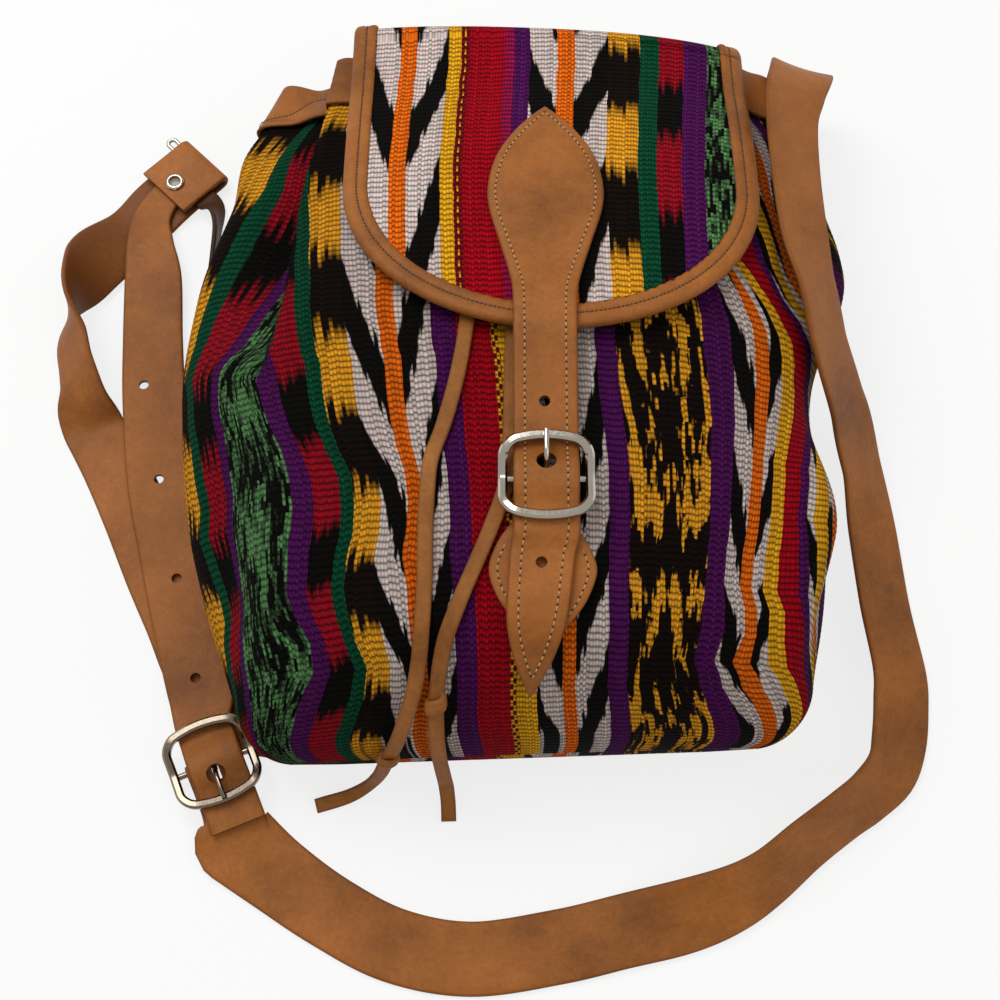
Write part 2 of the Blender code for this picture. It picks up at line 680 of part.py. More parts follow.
def make_seam_strips(parts):
    """Leather strips over the side seams, from the collar's top edge down the flanks."""
    top = COLLAR_LOW_Y + COLLAR_HEIGHT
    for name, degrees in (("left_seam_strip", 195.0), ("right_seam_strip", -15.0)):
        frames = []
        count = 12
        for index in range(count + 1):
            y = top - SEAM_STRIP_LENGTH * index / count
            lift = (COLLAR_THICKNESS + 2.5 * GAP) * smooth((y - COLLAR_LOW_Y + 9.0) / 7.0)
            outward = SEAM_STRIP_GAP + lift + SEAM_STRIP_THICKNESS / 2.0
            turn = math.radians(degrees)
            level = y + COLLAR_TOP_SLOPE * min(0.0, body_point(turn, y).x)
            middle = body_point(turn, level, outward)
            beside = body_point(turn + 0.05, level, outward) - body_point(turn - 0.05, level, outward)
            frames.append((middle, beside.normalized(), SEAM_STRIP_WIDTH, SEAM_STRIP_THICKNESS))
        paint(band(name, frames, parts), TAN, 0.6)


def sheet_point(x, place, height):
    """Point of the flap's sheet: place is y on the front, and past 1000 the turn in degrees."""
    turn_y = FLAP_TURN_Y + FLAP_TURN_SLOPE * x
    top = front_z(x, min(turn_y, BODY_STATIONS[-1][0])) + FLAP_LIFT
    if place < 1000.0:
        y = min(place, turn_y)
        return Vector((x, y, front_z(x, y) + FLAP_LIFT + height))
    angle = math.radians(min(180.0, place - 1000.0))
    radius = (top - FLAP_BACK_Z) / 2.0
    reach = max(0.0, place - 1180.0)
    y = turn_y + (FLAP_TURN_DEPTH + height) * math.sin(angle) - reach
    z = FLAP_BACK_Z + radius + (radius + height) * math.cos(angle)
    return Vector((x, y, z))


def outline(step, inset):
    """Place on the flap's edge: down the left, round the bottom and up the right."""
    half, depth = FLAP_HALF_WIDTH - inset, FLAP_ROUND_DEPTH - inset
    kind, amount = step
    if kind == "round":
        angle = math.radians(amount)
        return FLAP_CENTRE_X + half * math.sin(angle), FLAP_ROUND_Y - depth * math.cos(angle)
    sign = -1.0 if kind == "left" else 1.0
    return FLAP_CENTRE_X + sign * half, amount


def make_flap(parts):
    """Flap cloth: sewn behind the collar, turned over the mouth and hanging down the front."""
    inset = BINDING_LAP + 2.0 * GAP
    columns = 10
    rows = []
    for degrees in (12.0, 26.0, 40.0, 54.0, 66.0, 78.0, 90.0):
        _, y = outline(("round", degrees), inset)
        right, _ = outline(("round", degrees), inset)
        rows.append((right - FLAP_CENTRE_X, y))
    half = FLAP_HALF_WIDTH - inset
    rows += [(half, y) for y in (80.0, 102.0, 124.0)]
    rows += [(half, 1000.0 + degrees) for degrees in (0, 25, 50, 80, 110, 145, 180)]
    rows.append((half, 1180.0 + FLAP_BACK_REACH))
    rings = []
    for reach, place in rows:
        xs = [FLAP_CENTRE_X + reach * math.sin(math.pi * (column / columns - 0.5))
              for column in range(columns + 1)]
        upper = [sheet_point(x, place, CLOTH_THICKNESS / 2.0) for x in xs]
        lower = [sheet_point(x, place, -CLOTH_THICKNESS / 2.0) for x in reversed(xs)]
        rings.append(upper + lower)
    paint(loft("flap_cloth", rings, parts), CLOTH_RED, 0.85)


def make_binding(parts):
    """Leather folded over the flap's edge, in a C-shaped section with the cloth in its slot."""
    slot = CLOTH_THICKNESS / 2.0 + 1.5 * GAP
    outer = slot + BINDING_LEATHER
    profile = ((0.7, -outer), (BINDING_WIDTH, -outer), (BINDING_WIDTH, -slot), (BINDING_LAP, -slot),
               (BINDING_LAP, slot), (BINDING_WIDTH, slot), (BINDING_WIDTH, outer), (0.7, outer),
               (0.0, outer - 1.0), (0.0, 1.0 - outer))
    steps = [("left", 1000.0 + degrees) for degrees in (110, 80, 50, 25, 0)]
    steps += [("left", y) for y in (124.0, 102.0, 80.0)]
    steps += [("round", -90.0 + 180.0 * index / 20) for index in range(21)]
    steps += [("right", y) for y in (80.0, 102.0, 124.0)]
    steps += [("right", 1000.0 + degrees) for degrees in (0, 25, 50, 80, 110)]
    rings = []
    for step in steps:
        ring = []
        for inset, height in profile:
            x, place = outline(step, inset)
            ring.append(sheet_point(x, place, height))
        rings.append(ring)
    paint(loft("flap_binding", rings, parts), TAN, 0.5)


def make_buckle(name, buckle, base, prong_way, parts, cutters):
    """Bowed buckle frame with its centre bar, and its prong on the rail it points to."""
    bar = bar_height()
    half_width, half_side = BUCKLE_WIDTH / 2.0 - BUCKLE_RAIL / 2.0, BUCKLE_SIDE / 2.0
    outline_points = []
    for corner_x, corner_y, start in ((1, 1, 0), (-1, 1, 90), (-1, -1, 180), (1, -1, 270)):
        for degrees in (0, 45, 90):
            angle = math.radians(start + degrees)
            x = corner_x * (half_width - BUCKLE_CORNER) + BUCKLE_CORNER * math.cos(angle)
            y = corner_y * (half_side - BUCKLE_CORNER) + BUCKLE_CORNER * math.sin(angle)
            outline_points.append((x, y))
        if corner_y == corner_x:
            rail_y = corner_y * half_side
            for share in (0.55, 0.0, -0.55):
                outline_points.append((corner_x * share * (half_width - BUCKLE_CORNER), rail_y))
        else:
            for share in (0.4, -0.4):
                outline_points.append((corner_x * half_width, corner_y * share * half_side))
    points = []
    for x, y in outline_points:
        bow = BUCKLE_BOW * (1.0 - (x / half_width) ** 2) * (y / half_side)
        rise = 2.0 + (BAR_DROP - 2.0) * min(1.0, abs(y) / half_side) ** 1.5
        points.append(buckle_point(buckle, base, x, y + bow, bar + rise))
    frame = tube(name + "_frame", points, BUCKLE_RAIL, parts, closed=True)
    side, forward = buckle_axes(buckle)
    rod = cylinder(name + "_bar", buckle_point(buckle, base, 0.0, 0.0, bar), side, BUCKLE_BAR,
                   2.0 * half_width + 0.6, cutters, sides=12)
    combine(frame, rod, "UNION")
    paint(frame, NICKEL, 0.25, 1.0)
    radius = BUCKLE_BAR / 2.0 + GAP + PRONG_WIRE / 2.0
    path = []
    for degrees in (-50, -90, -130, -170, -210, -245, -270):
        angle = math.radians(degrees)
        path.append((radius * math.cos(angle), radius * math.sin(angle)))
    rail_top = BAR_DROP + BUCKLE_RAIL / 2.0 + GAP + PRONG_WIRE / 2.0
    path += [(2.2, radius), (3.9, radius + 0.8), (5.1, radius + 2.4), (6.1, radius + 3.9),
             (7.4, rail_top - 0.4), (9.5, rail_top), (half_side + BUCKLE_BOW, rail_top),
             (half_side + BUCKLE_BOW + 2.2, rail_top - 0.3)]
    pin = [buckle_point(buckle, base, 0.0, prong_way * along, bar + rise) for along, rise in path]
    pivot = buckle_point(buckle, base, 0.0, 0.0, bar)
    prong = tube(name + "_prong", pin, PRONG_WIRE, parts)
    prong.data.transform(Matrix.Translation(-pivot * MM))
    prong.location = pivot * MM
    paint(prong, NICKEL, 0.25, 1.0)


def punch(strap, places, diameter, cutters):
    """Round holes through a strap at given places."""
    for index, place in enumerate(places):
        middle = Vector((place[0], place[1], place[2] if len(place) > 2 else 0.0))
        tool = cylinder(f"{strap.name}_hole_{index}", middle, (0.0, 0.0, 1.0), diameter, 16.0, cutters)
        combine(strap, tool, "DIFFERENCE")


def slot_for_prong(strap, buckle, base, cutters):
    """Slot in a looped strap end where the prong's eye turns."""
    mesh = bpy.data.meshes.new(strap.name + "_slot")
    shape = bmesh.new()
    bmesh.ops.create_cube(shape, size=1.0)
    size = Vector((PRONG_WIRE + 2.4, 12.0, 12.0)) * MM
    bmesh.ops.scale(shape, vec=size, verts=shape.verts)
    shape.to_mesh(mesh)
    shape.free()
    tool = new_object(mesh.name, mesh, cutters)
    tool.location = buckle_point(buckle, base, 0.0, -0.8, bar_height()) * MM
    tool.rotation_euler = (0.0, 0.0, math.radians(buckle[2]))
    combine(strap, tool, "DIFFERENCE")


def make_closure(parts, cutters):
    """Leaf-ended closure strap, its patch with the loop, and the front buckle."""
    base = front_z(FRONT_BUCKLE[0], FRONT_BUCKLE[1])
    threaded = buckle_frames(FRONT_BUCKLE, base,
                             threaded_rows(CLOSURE_WIDTH, ((20.0, 1.1),), ((-20.0, 1.1),)))
    frames = front_frames(CLOSURE_ROUTE) + threaded + front_frames(CLOSURE_TAIL_ROUTE)
    strap = band("closure_strap", frames, parts)
    heights = [(x, y, front_z(x, y) + 4.0) for x, y in CLOSURE_HOLES]
    punch(strap, heights, HOLE_DIAMETER, cutters)
    prong_hole = buckle_point(FRONT_BUCKLE, base, 0.0, PRONG_HOLE_ALONG, bar_height())
    mouth = cylinder("closure_prong_hole", prong_hole, (0.0, 0.0, 1.0), PRONG_HOLE_DIAMETER, 16.0, cutters)
    combine(strap, mouth, "DIFFERENCE")
    paint(strap, TAN, 0.45)
    loop = buckle_frames(FRONT_BUCKLE, base, loop_rows(PATCH_LOOP_WIDTH))
    patch = band("buckle_patch", front_frames(PATCH_ROUTE, thickness=SKIVED_THICKNESS) + loop, parts)
    slot_for_prong(patch, FRONT_BUCKLE, base, cutters)
    paint(patch, TAN, 0.45)
    make_buckle("front_buckle", FRONT_BUCKLE, base, 1.0, parts, cutters)


def thong_frames(rows):
    """Frames of a thong through rows of x, y, z and the way it faces."""
    rows = along_rows(rows, 11.0)
    frames = []
    for index, row in enumerate(rows):
        tangent = Vector(rows[min(index + 1, len(rows) - 1)][:3]) - Vector(rows[max(index - 1, 0)][:3])
        facing = math.radians(row[3])
        lateral = tangent.cross(Vector((0.0, -math.sin(facing), math.cos(facing)))).normalized()
        frames.append((Vector(row[:3]), lateral, THONG_WIDTH, THONG_THICKNESS))
    return frames


def make_thong(side, route, fall, knot, tail, parts):
    """One drawstring thong: its run down the front, its knot and its tail, end to end."""
    run = [(x, y, front_z(x, y) + height, facing) for x, y, height, facing in route] + list(fall)
    end = Vector(run[-1][:3])
    reach = KNOT_LENGTH / 2.0 + GAP
    middle = end + (Vector(knot) - end).normalized() * reach
    start = middle + (Vector(tail[0][:3]) - middle).normalized() * reach
    tail = ((*start, tail[0][3]), *tail[1:])
    paint(band(f"{side}_drawstring", thong_frames(run), parts), TAN, 0.6)
    paint(band(f"{side}_drawstring_tail", thong_frames(tail), parts), TAN, 0.6)
    mesh = bpy.data.meshes.new(f"{side}_drawstring_knot")
    shape = bmesh.new()
    bmesh.ops.create_uvsphere(shape, u_segments=10, v_segments=8, radius=0.5 * MM)
    bmesh.ops.scale(shape, vec=(KNOT_WIDTH, KNOT_THICKNESS, KNOT_LENGTH), verts=shape.verts)
    shape.to_mesh(mesh)
    shape.free()
    lump = new_object(mesh.name, mesh, parts)
    lump.location = middle * MM
    direction = start - end
    lump.rotation_mode = "QUATERNION"
    lump.rotation_quaternion = Vector((0.0, 0.0, -1.0)).rotation_difference(direction)
    paint(lump, TAN, 0.6)


def make_straps(parts, cutters):
    """Long strap, holed strap, ring strap with its folded end, hanger strip and strap buckle."""
    lift = STRAP_BUCKLE_LIFT
    near = ((-23.0, 3.0, 24.0, 1.9), (-18.0, 3.3, 22.0, 1.6))
    long_frames = floor_frames(LONG_STRAP_ROUTE, 14.0)
    long_frames += buckle_frames(STRAP_BUCKLE, lift, (*near, *loop_rows(22.0)), 0.0, -1.0)
    long_strap = band("long_strap", long_frames, parts)
    slot_for_prong(long_strap, STRAP_BUCKLE, lift, cutters)
    paint(long_strap, TAN, 0.45)
    threaded = threaded_rows(HOLED_STRAP_TIP_WIDTH, (), ((-20.0, 1.7), (-27.0, 1.2)))
    holed_frames = floor_frames(HOLED_STRAP_ROUTE, 12.0)
    holed_frames += buckle_frames(STRAP_BUCKLE, lift, threaded, HOLED_STRAP_OFFSET, -1.0)
    holed = band("holed_strap", holed_frames, parts)
    punch(holed, HOLED_STRAP_HOLES, HOLE_DIAMETER, cutters)
    mouth = buckle_point(STRAP_BUCKLE, 0.0, 0.0, -PRONG_HOLE_ALONG, 0.0)
    punch_tool = cylinder("strap_prong_hole", mouth, (0.0, 0.0, 1.0), PRONG_HOLE_DIAMETER, 30.0, cutters)
    combine(holed, punch_tool, "DIFFERENCE")
    paint(holed, TAN, 0.45)
    make_buckle("strap_buckle", STRAP_BUCKLE, lift, -1.0, parts, cutters)
    ring_strap = band("ring_strap", floor_frames(RING_STRAP_ROUTE, 13.0) + tab_frames(), parts)
    paint(ring_strap, TAN, 0.5)
    hanger = band("hanger_strip", floor_frames(HANGER_STRIP_ROUTE, 7.0), parts)
    paint(hanger, DARK_TAN, 0.6)
    make_eyelet(parts, cutters, (ring_strap, holed))
    make_ring(parts)


def tab_direction():
    """Direction the ring strap's folded end points, and the direction of its fold."""
    turn = math.radians(TAB_HEADING)
    return Vector((math.cos(turn), math.sin(turn), 0.0)), Vector((math.sin(turn), -math.cos(turn), 0.0))


def tab_frames():
    """Frames of the ring strap's end, folded back over itself."""
    forward, _ = tab_direction()
    lateral = lateral_of(TAB_HEADING, 180.0)
    radius = TAB_POCKET / 2.0
    fold = Vector((*TAB_FOLD, TAB_LOW_Z + radius))
    frames = []
    for degrees in (-90, -60, -30, 0, 30, 60, 90):
        angle = math.radians(degrees)
        place = fold + forward * radius * math.cos(angle) + Vector((0.0, 0.0, radius * math.sin(angle)))
        frames.append((place, lateral, STRAP_WIDTH, STRAP_THICKNESS))
    for reach in (8.0, 16.0, TAB_REACH):
        place = fold - forward * reach + Vector((0.0, 0.0, radius))
        frames.append((place, lateral, STRAP_WIDTH, STRAP_THICKNESS))
    return frames


def make_eyelet(parts, cutters, straps):
    """Tubular eyelet that rivets the folded end, turned from its section."""
    forward, side = tab_direction()
    middle = Vector((*TAB_FOLD, 0.0)) - forward * EYELET_FROM_FOLD + side * EYELET_ACROSS
    top = TAB_LOW_Z + TAB_POCKET + STRAP_THICKNESS / 2.0
    foot = TAB_LOW_Z - STRAP_THICKNESS / 2.0 - GAP
    barrel = EYELET_HOLE / 2.0 + EYELET_WALL
    hole, rim = EYELET_HOLE / 2.0, EYELET_OUTER / 2.0
    profile = ((hole, top + GAP + 0.7), (hole + 0.5, top + GAP + 1.1), (rim - 0.4, top + GAP + 0.6),
               (rim, top + GAP), (barrel, top + GAP), (barrel, foot),
               (rim, foot), (rim, foot - 0.4), (hole, foot - 0.4))
    mesh = bpy.data.meshes.new("tab_eyelet")
    edges = [(index, (index + 1) % len(profile)) for index in range(len(profile))]
    mesh.from_pydata([Vector((radius, 0.0, z)) * MM for radius, z in profile], edges, [])
    eyelet = new_object("tab_eyelet", mesh, parts)
    eyelet.location = middle * MM
    turned = eyelet.modifiers.new("turned", "SCREW")
    turned.steps = turned.render_steps = 16
    turned.use_merge_vertices = True
    turned.merge_threshold = 0.00001
    paint(eyelet, NICKEL, 0.3, 1.0)
    for strap in straps:
        tool = cylinder(strap.name + "_eyelet_hole", middle + Vector((0.0, 0.0, 4.0)), (0.0, 0.0, 1.0),
                        2.0 * (barrel + GAP), 20.0, cutters)
        combine(strap, tool, "DIFFERENCE")


def make_ring(parts):
    """Narrow wire ring held in the fold, its end standing out past the strap's edge."""
    forward, side = tab_direction()
    fold = Vector((*TAB_FOLD, TAB_LOW_Z + TAB_POCKET / 2.0))
    half = RING_WIDTH / 2.0 - RING_WIRE / 2.0
    middle = fold - forward * half
    points = []
    for end, start in ((-RING_OUT_END, 90), (RING_IN_END, -90)):
        for degrees in range(0, 181, 30):
            angle = math.radians(start + degrees)
            points.append(middle + side * (end + half * math.cos(angle)) + forward * half * math.sin(angle))
    ring = tube("tab_ring", points, RING_WIRE, parts, closed=True)
    paint(ring, NICKEL, 0.3, 1.0)


def build():
    """Clear the scene and make the whole bag."""
    for old in list(bpy.data.objects):
        bpy.data.objects.remove(old)
    parts = bpy.data.collections.new("woven_bucket_bag")
    cutters = bpy.data.collections.new("cutters")
    bpy.context.scene.collection.children.link(parts)
    bpy.context.scene.collection.children.link(cutters)
    make_body(parts)
    make_collar(parts)
    make_seam_strips(parts)
    make_flap(parts)
    make_binding(parts)
    make_closure(parts, cutters)
    make_thong("left", LEFT_THONG_ROUTE, LEFT_THONG_FALL, LEFT_KNOT, LEFT_TAIL, parts)
    make_thong("right", RIGHT_THONG_ROUTE, RIGHT_THONG_FALL, RIGHT_KNOT, RIGHT_TAIL, parts)
    make_straps(parts, cutters)
    for made in parts.objects:
        made.data.shade_smooth()
        made.data.set_sharp_from_angle(angle=math.radians(40.0))


build()
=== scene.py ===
# %% [markdown]
# # A handwoven bucket bag with leather straps
# The real bag is a tube of striped cotton cloth, sewn into a leather collar, with a round flap of the
# same cloth. It lies on its back with its straps spread beside it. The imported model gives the
# place of every piece. Each one is made again here with the detail that its own surface has.

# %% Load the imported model
import math

import bmesh
import bpy
import numpy as np
from mathutils import Matrix, Vector


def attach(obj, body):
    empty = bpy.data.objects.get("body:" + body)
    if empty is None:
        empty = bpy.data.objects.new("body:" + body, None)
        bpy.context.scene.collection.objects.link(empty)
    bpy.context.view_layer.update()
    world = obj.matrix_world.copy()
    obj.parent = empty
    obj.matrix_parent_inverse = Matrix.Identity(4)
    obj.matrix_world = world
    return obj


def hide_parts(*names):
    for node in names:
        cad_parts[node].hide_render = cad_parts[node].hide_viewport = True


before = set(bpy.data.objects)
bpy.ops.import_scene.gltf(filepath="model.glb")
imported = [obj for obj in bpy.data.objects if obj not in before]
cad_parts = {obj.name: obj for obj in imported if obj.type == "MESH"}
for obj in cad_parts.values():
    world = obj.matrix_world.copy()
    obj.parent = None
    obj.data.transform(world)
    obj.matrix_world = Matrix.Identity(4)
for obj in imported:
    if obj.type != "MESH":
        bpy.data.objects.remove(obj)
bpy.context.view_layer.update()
MM = 0.001

# %% [markdown]
# ## The camera
# The photograph was taken from above the bag's lower end, with a lens that shows little
# perspective. The camera comes before everything else. The loose thongs' routes were measured
# against what it sees.

# %% Camera
camera = bpy.data.objects.new("camera", bpy.data.cameras.new("camera"))
bpy.context.collection.objects.link(camera)
camera.location = (-0.005, -0.326, 0.6954)
look_at = Vector((-0.005, -0.045, 0.0))
camera.rotation_euler = (look_at - camera.location).to_track_quat("-Z", "Y").to_euler()
camera.data.lens = 64.3
camera.data.sensor_width = 36.0
bpy.context.scene.camera = camera
print("camera to bag", round((look_at - camera.location).length, 3), "m")

# %% [markdown]
# ## Colours, nodes and meshes
# Colours are written as the hex values that a screen shows, and one function turns them into the
# linear numbers that a shader works with. One function adds a node with its settings and with what
# goes into it: a number, an output, or a node, whose first output is taken. Another makes a mesh
# object with the values that its material reads at each point.

# %% Helpers for materials
def linear(hex_colour, alpha=1.0):
    values = [int(hex_colour[i:i + 2], 16) / 255.0 for i in (1, 3, 5)]
    return (*[v / 12.92 if v <= 0.04045 else ((v + 0.055) / 1.055) ** 2.4 for v in values], alpha)


def add_node(tree, kind, settings=None, links=None):
    made = tree.nodes.new("ShaderNode" + kind)
    for key, value in (settings or {}).items():
        if isinstance(key, str) and hasattr(made, key):
            setattr(made, key, value)
        else:
            made.inputs[key].default_value = value
    for key, source in (links or {}).items():
        if isinstance(source, (int, float)):
            made.inputs[key].default_value = source
        else:
            source = source.outputs[0] if isinstance(source, bpy.types.Node) else source
            tree.links.new(source, made.inputs[key])
    return made


def new_material(name, **sockets):
    material = bpy.data.materials.new(name)
    material.use_nodes = True
    shader = material.node_tree.nodes["Principled BSDF"]
    for key, value in sockets.items():
        shader.inputs[key.replace("_", " ")].default_value = value
    return material, material.node_tree, shader


print("tan as linear", [round(v, 3) for v in linear("#B27C4C")])

# %% Helpers for meshes
def add_piece(name, points, faces, material, body, stands_for=(), values=None):
    mesh = bpy.data.meshes.new(name)
    mesh.from_pydata(np.asarray(points) * MM, [], faces)
    for key, numbers in (values or {}).items():
        layer = mesh.attributes.new(key, "FLOAT", "POINT")
        layer.data.foreach_set("value", np.asarray(numbers, dtype=np.float32).ravel())
    mesh.materials.append(material)
    mesh.shade_smooth()
    made = bpy.data.objects.new(name, mesh)
    bpy.context.collection.objects.link(made)
    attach(made, body)
    if stands_for:
        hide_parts(*stands_for)
    return made


def grid_faces(rows, columns, closed_across=False, closed_along=False, flip=False):
    index = np.arange(rows * columns).reshape(rows, columns)
    if closed_across:
        index = np.hstack([index, index[:, :1]])
    if closed_along:
        index = np.vstack([index, index[:1]])
    quads = np.stack([index[:-1, :-1], index[:-1, 1:], index[1:, 1:], index[1:, :-1]], axis=-1)
    quads = quads.reshape(-1, 4)
    return (quads[:, ::-1] if flip else quads).tolist()


def face_outwards(made, sharp_from=None):
    bm = bmesh.new()
    bm.from_mesh(made.data)
    bmesh.ops.recalc_face_normals(bm, faces=bm.faces)
    bm.to_mesh(made.data)
    bm.free()
    if sharp_from:
        made.data.set_sharp_from_angle(angle=math.radians(sharp_from))
    return made


def unit(vectors):
    return vectors / np.linalg.norm(vectors, axis=-1, keepdims=True)


def square_to(vectors, line):
    # What is left of each vector when its share along the line is taken away
    return unit(vectors - line * np.sum(vectors * line, axis=1)[:, None])


def run_along(points):
    # How far each point of a line lies from the line's start
    return np.concatenate([[0.0], np.cumsum(np.linalg.norm(np.diff(points, axis=0), axis=1))])


def ease(value):
    value = np.clip(value, 0.0, 1.0)
    return value * value * (3.0 - 2.0 * value)


print("grid of 3 x 3 points has", len(grid_faces(3, 3)), "faces")

# %% [markdown]
# ## The shape of the bag
# The bag's section is a soft oval that is flat below and crowned above. The table gives its left
# edge, its right edge and the height of its front at a few places along its length, as the solid
# has them. Everything that lies on the bag takes its height from here.

# %% Section of the bag
GAP = 0.35
STATIONS = np.array((
    # y, left edge, right edge, height of the front, in mm
    (-162.0, -104.0, 113.0, 86.0), (-139.0, -107.0, 115.5, 88.0), (-80.0, -122.0, 127.5, 94.0),
    (-22.0, -133.0, 132.0, 94.0), (19.0, -128.0, 134.5, 90.0), (62.0, -119.0, 131.0, 84.0),
    (90.0, -116.0, 127.0, 76.0), (112.0, -106.0, 116.0, 68.0), (141.0, -96.0, 110.0, 62.0)))
BOTTOM_Y, BOTTOM_ROUND, BOTTOM_CORNER, BOTTOM_SEAM_Z = -163.0, 42.0, 20.0, 26.0
POWER = 0.84
BACK_GAIN = 1.35


def section(y):
    y = np.asarray(y, dtype=float)
    level = np.clip(y, STATIONS[0, 0], STATIONS[-1, 0])
    low = np.clip(np.searchsorted(STATIONS[1:, 0], level), 0, len(STATIONS) - 2)
    before, high, after = np.maximum(low - 1, 0), low + 1, np.minimum(low + 2, len(STATIONS) - 1)
    span = STATIONS[high, 0] - STATIONS[low, 0]
    t = (level - STATIONS[low, 0]) / span
    values = []
    for column in (1, 2, 3):
        a, b = STATIONS[low, column], STATIONS[high, column]
        slope_a = (b - STATIONS[before, column]) / (STATIONS[high, 0] - STATIONS[before, 0]) * span
        slope_b = (STATIONS[after, column] - a) / (STATIONS[after, 0] - STATIONS[low, 0]) * span
        values.append(a * (1 + 2 * t) * (1 - t) ** 2 + slope_a * t * (1 - t) ** 2
                      + b * t * t * (3 - 2 * t) + slope_b * t * t * (t - 1))
    left, right, top = values
    bottom = 6.0 * ease((y - 84.0) / 24.0)
    rounding = np.clip((BOTTOM_Y + BOTTOM_ROUND - y) / BOTTOM_ROUND, 0.0, 1.0)
    fullness = np.sqrt(1.0 - rounding ** 2)
    top = np.where(rounding > 0.0, BOTTOM_SEAM_Z + (top - BOTTOM_SEAM_Z) * fullness, top)
    bottom = np.where(rounding > 0.0, BOTTOM_SEAM_Z * (1.0 - fullness), bottom)
    corner = np.clip((BOTTOM_Y + BOTTOM_CORNER - y) / BOTTOM_CORNER, 0.0, 1.0)
    half = (right - left) / 2.0 - BOTTOM_CORNER * (1.0 - np.sqrt(1.0 - corner ** 2))
    return (left + right) / 2.0, half, top, bottom, bottom + 0.42 * (top - bottom)


def front_z(x, y):
    centre, half, top, _, middle = section(y)
    share = np.minimum(0.999, np.abs(x - centre) / half)
    return middle + (top - middle) * np.sqrt(1.0 - share ** (2.0 / POWER)) ** POWER


print("front height at the middle", round(float(front_z(10.0, -22.0)), 1), "mm")

# %% [markdown]
# The cloth is gathered into the collar, hangs in soft folds at the sides and is pressed in where the
# long strap lies on it. A turn of 90 degrees is the middle of the front, 0 the right side and
# 180 the left side.

# %% Points on the bag
def fold_depth(turn, x, y):
    side = ease((-62.0 - x) / 26.0) + ease((x - 88.0) / 26.0)
    gathered = ease((y - 45.0) / 55.0)
    gathers = -2.2 * gathered * np.cos(12.0 * turn)
    folds = 4.5 * (1.0 - gathered) * ease((y - BOTTOM_Y) / 60.0) * np.sin(7.0 * turn + y / 46.0)
    pressed = ease(1.0 - np.abs(y + 24.0) / 62.0)
    off_turn = np.abs(np.degrees(turn) - 12.0) / 62.0
    return side * (gathers + folds * (1.0 - pressed)) - 13.0 * pressed * ease(1.0 - off_turn)


def body_point(turn, y, outward=0.0):
    centre, half, top, bottom, middle = section(y)
    cosine, sine = np.cos(turn), np.sin(turn)
    x = centre + half * np.sign(cosine) * np.abs(cosine) ** POWER
    front = sine >= 0.0
    lift = np.abs(sine) ** POWER
    rise = np.where(front, lift, -np.minimum(1.0, BACK_GAIN * lift))
    reach = np.where(front, top - middle, middle - bottom)
    above_back = np.where(front, 1.0, ease((1.0 + rise) / 0.3))
    away_x = np.sign(cosine) * np.abs(cosine) ** (2.0 - POWER) / half
    away_z = np.sign(sine) * np.abs(sine) ** (2.0 - POWER) / np.maximum(1.0, reach)
    away_z = np.where(front, away_z, away_z / BACK_GAIN)
    flat = (~front) & (rise <= -1.0)
    away_x, away_z = np.where(flat, 0.0, away_x), np.where(flat, -1.0, away_z)
    size = np.maximum(1e-9, np.hypot(away_x, away_z))
    away = outward + above_back * fold_depth(turn, x, y)
    shape = np.broadcast_arrays(x + away_x / size * away, y, middle + rise * reach + away_z / size * away)
    return np.stack(shape, axis=-1)


def bag_surface(turn, y, outward=0.0, slope=0.0):
    level = y + slope * np.minimum(0.0, body_point(turn, y)[..., 0])
    points = body_point(turn, level, outward)
    points[..., 1] += 0.035 * (points[..., 0] + 40.0) * ease((-70.0 - y) / 90.0)
    return points


TURNS = np.radians(np.linspace(-90.0, 270.0, 2881))
ring = body_point(TURNS, -22.0 + 0.0 * TURNS)
around = run_along(ring)
around = np.interp(math.pi / 2, TURNS, around) - around
print("cloth round the bag", round(float(around[0] - around[-1])), "mm")

# %% [markdown]
# ## Routes of the straps
# A strap is a flat band along a route. Each row of a route gives the middle of the band, the way it
# heads, how its width leans, and its width. The solids were made from the same rows, so what is
# made here lies in the same place.

# %% Rows and frames
def along_rows(rows, step):
    rows = np.array([rows[0], *rows, rows[-1]], dtype=float)
    made = []
    for a, b, c, d in zip(rows, rows[1:], rows[2:], rows[3:]):
        count = max(1, round(float(np.linalg.norm(c[:3] - b[:3])) / step))
        t = (np.arange(count) / count)[:, None]
        made.append(0.5 * (2 * b + (c - a) * t + (2 * a - 5 * b + 4 * c - d) * t * t
                           + (3 * b - a - 3 * c + d) * t ** 3))
    return np.vstack([*made, rows[-1:]])


def even_rows(rows, step):
    rows = np.asarray(rows, dtype=float)
    gaps = np.linalg.norm(np.diff(rows[:, :3], axis=0), axis=1)[:, None]
    slopes = np.diff(rows, axis=0) / gaps
    inner = (slopes[:-1] * gaps[1:] + slopes[1:] * gaps[:-1]) / (gaps[:-1] + gaps[1:])
    tangents = np.vstack([slopes[:1], inner, slopes[-1:]])
    made = []
    for a, b, p, q, gap in zip(rows, rows[1:], tangents, tangents[1:], gaps[:, 0]):
        count = max(1, round(gap / step))
        t = (np.arange(count) / count)[:, None]
        made.append(a * (1 + 2 * t) * (1 - t) ** 2 + p * gap * t * (1 - t) ** 2
                    + b * t * t * (3 - 2 * t) + q * gap * t * t * (t - 1))
    return np.vstack([*made, rows[-1:]])


def floor_frames(route, step=2.5, thickness=2.2):
    rows = along_rows(route, step)
    heading, lean = np.radians(rows[:, 3]), np.radians(rows[:, 4])
    lateral = np.stack([np.sin(heading) * np.cos(lean), -np.cos(heading) * np.cos(lean), np.sin(lean)], 1)
    return np.column_stack([rows[:, :3], lateral, rows[:, 5], np.full(len(rows), thickness)])


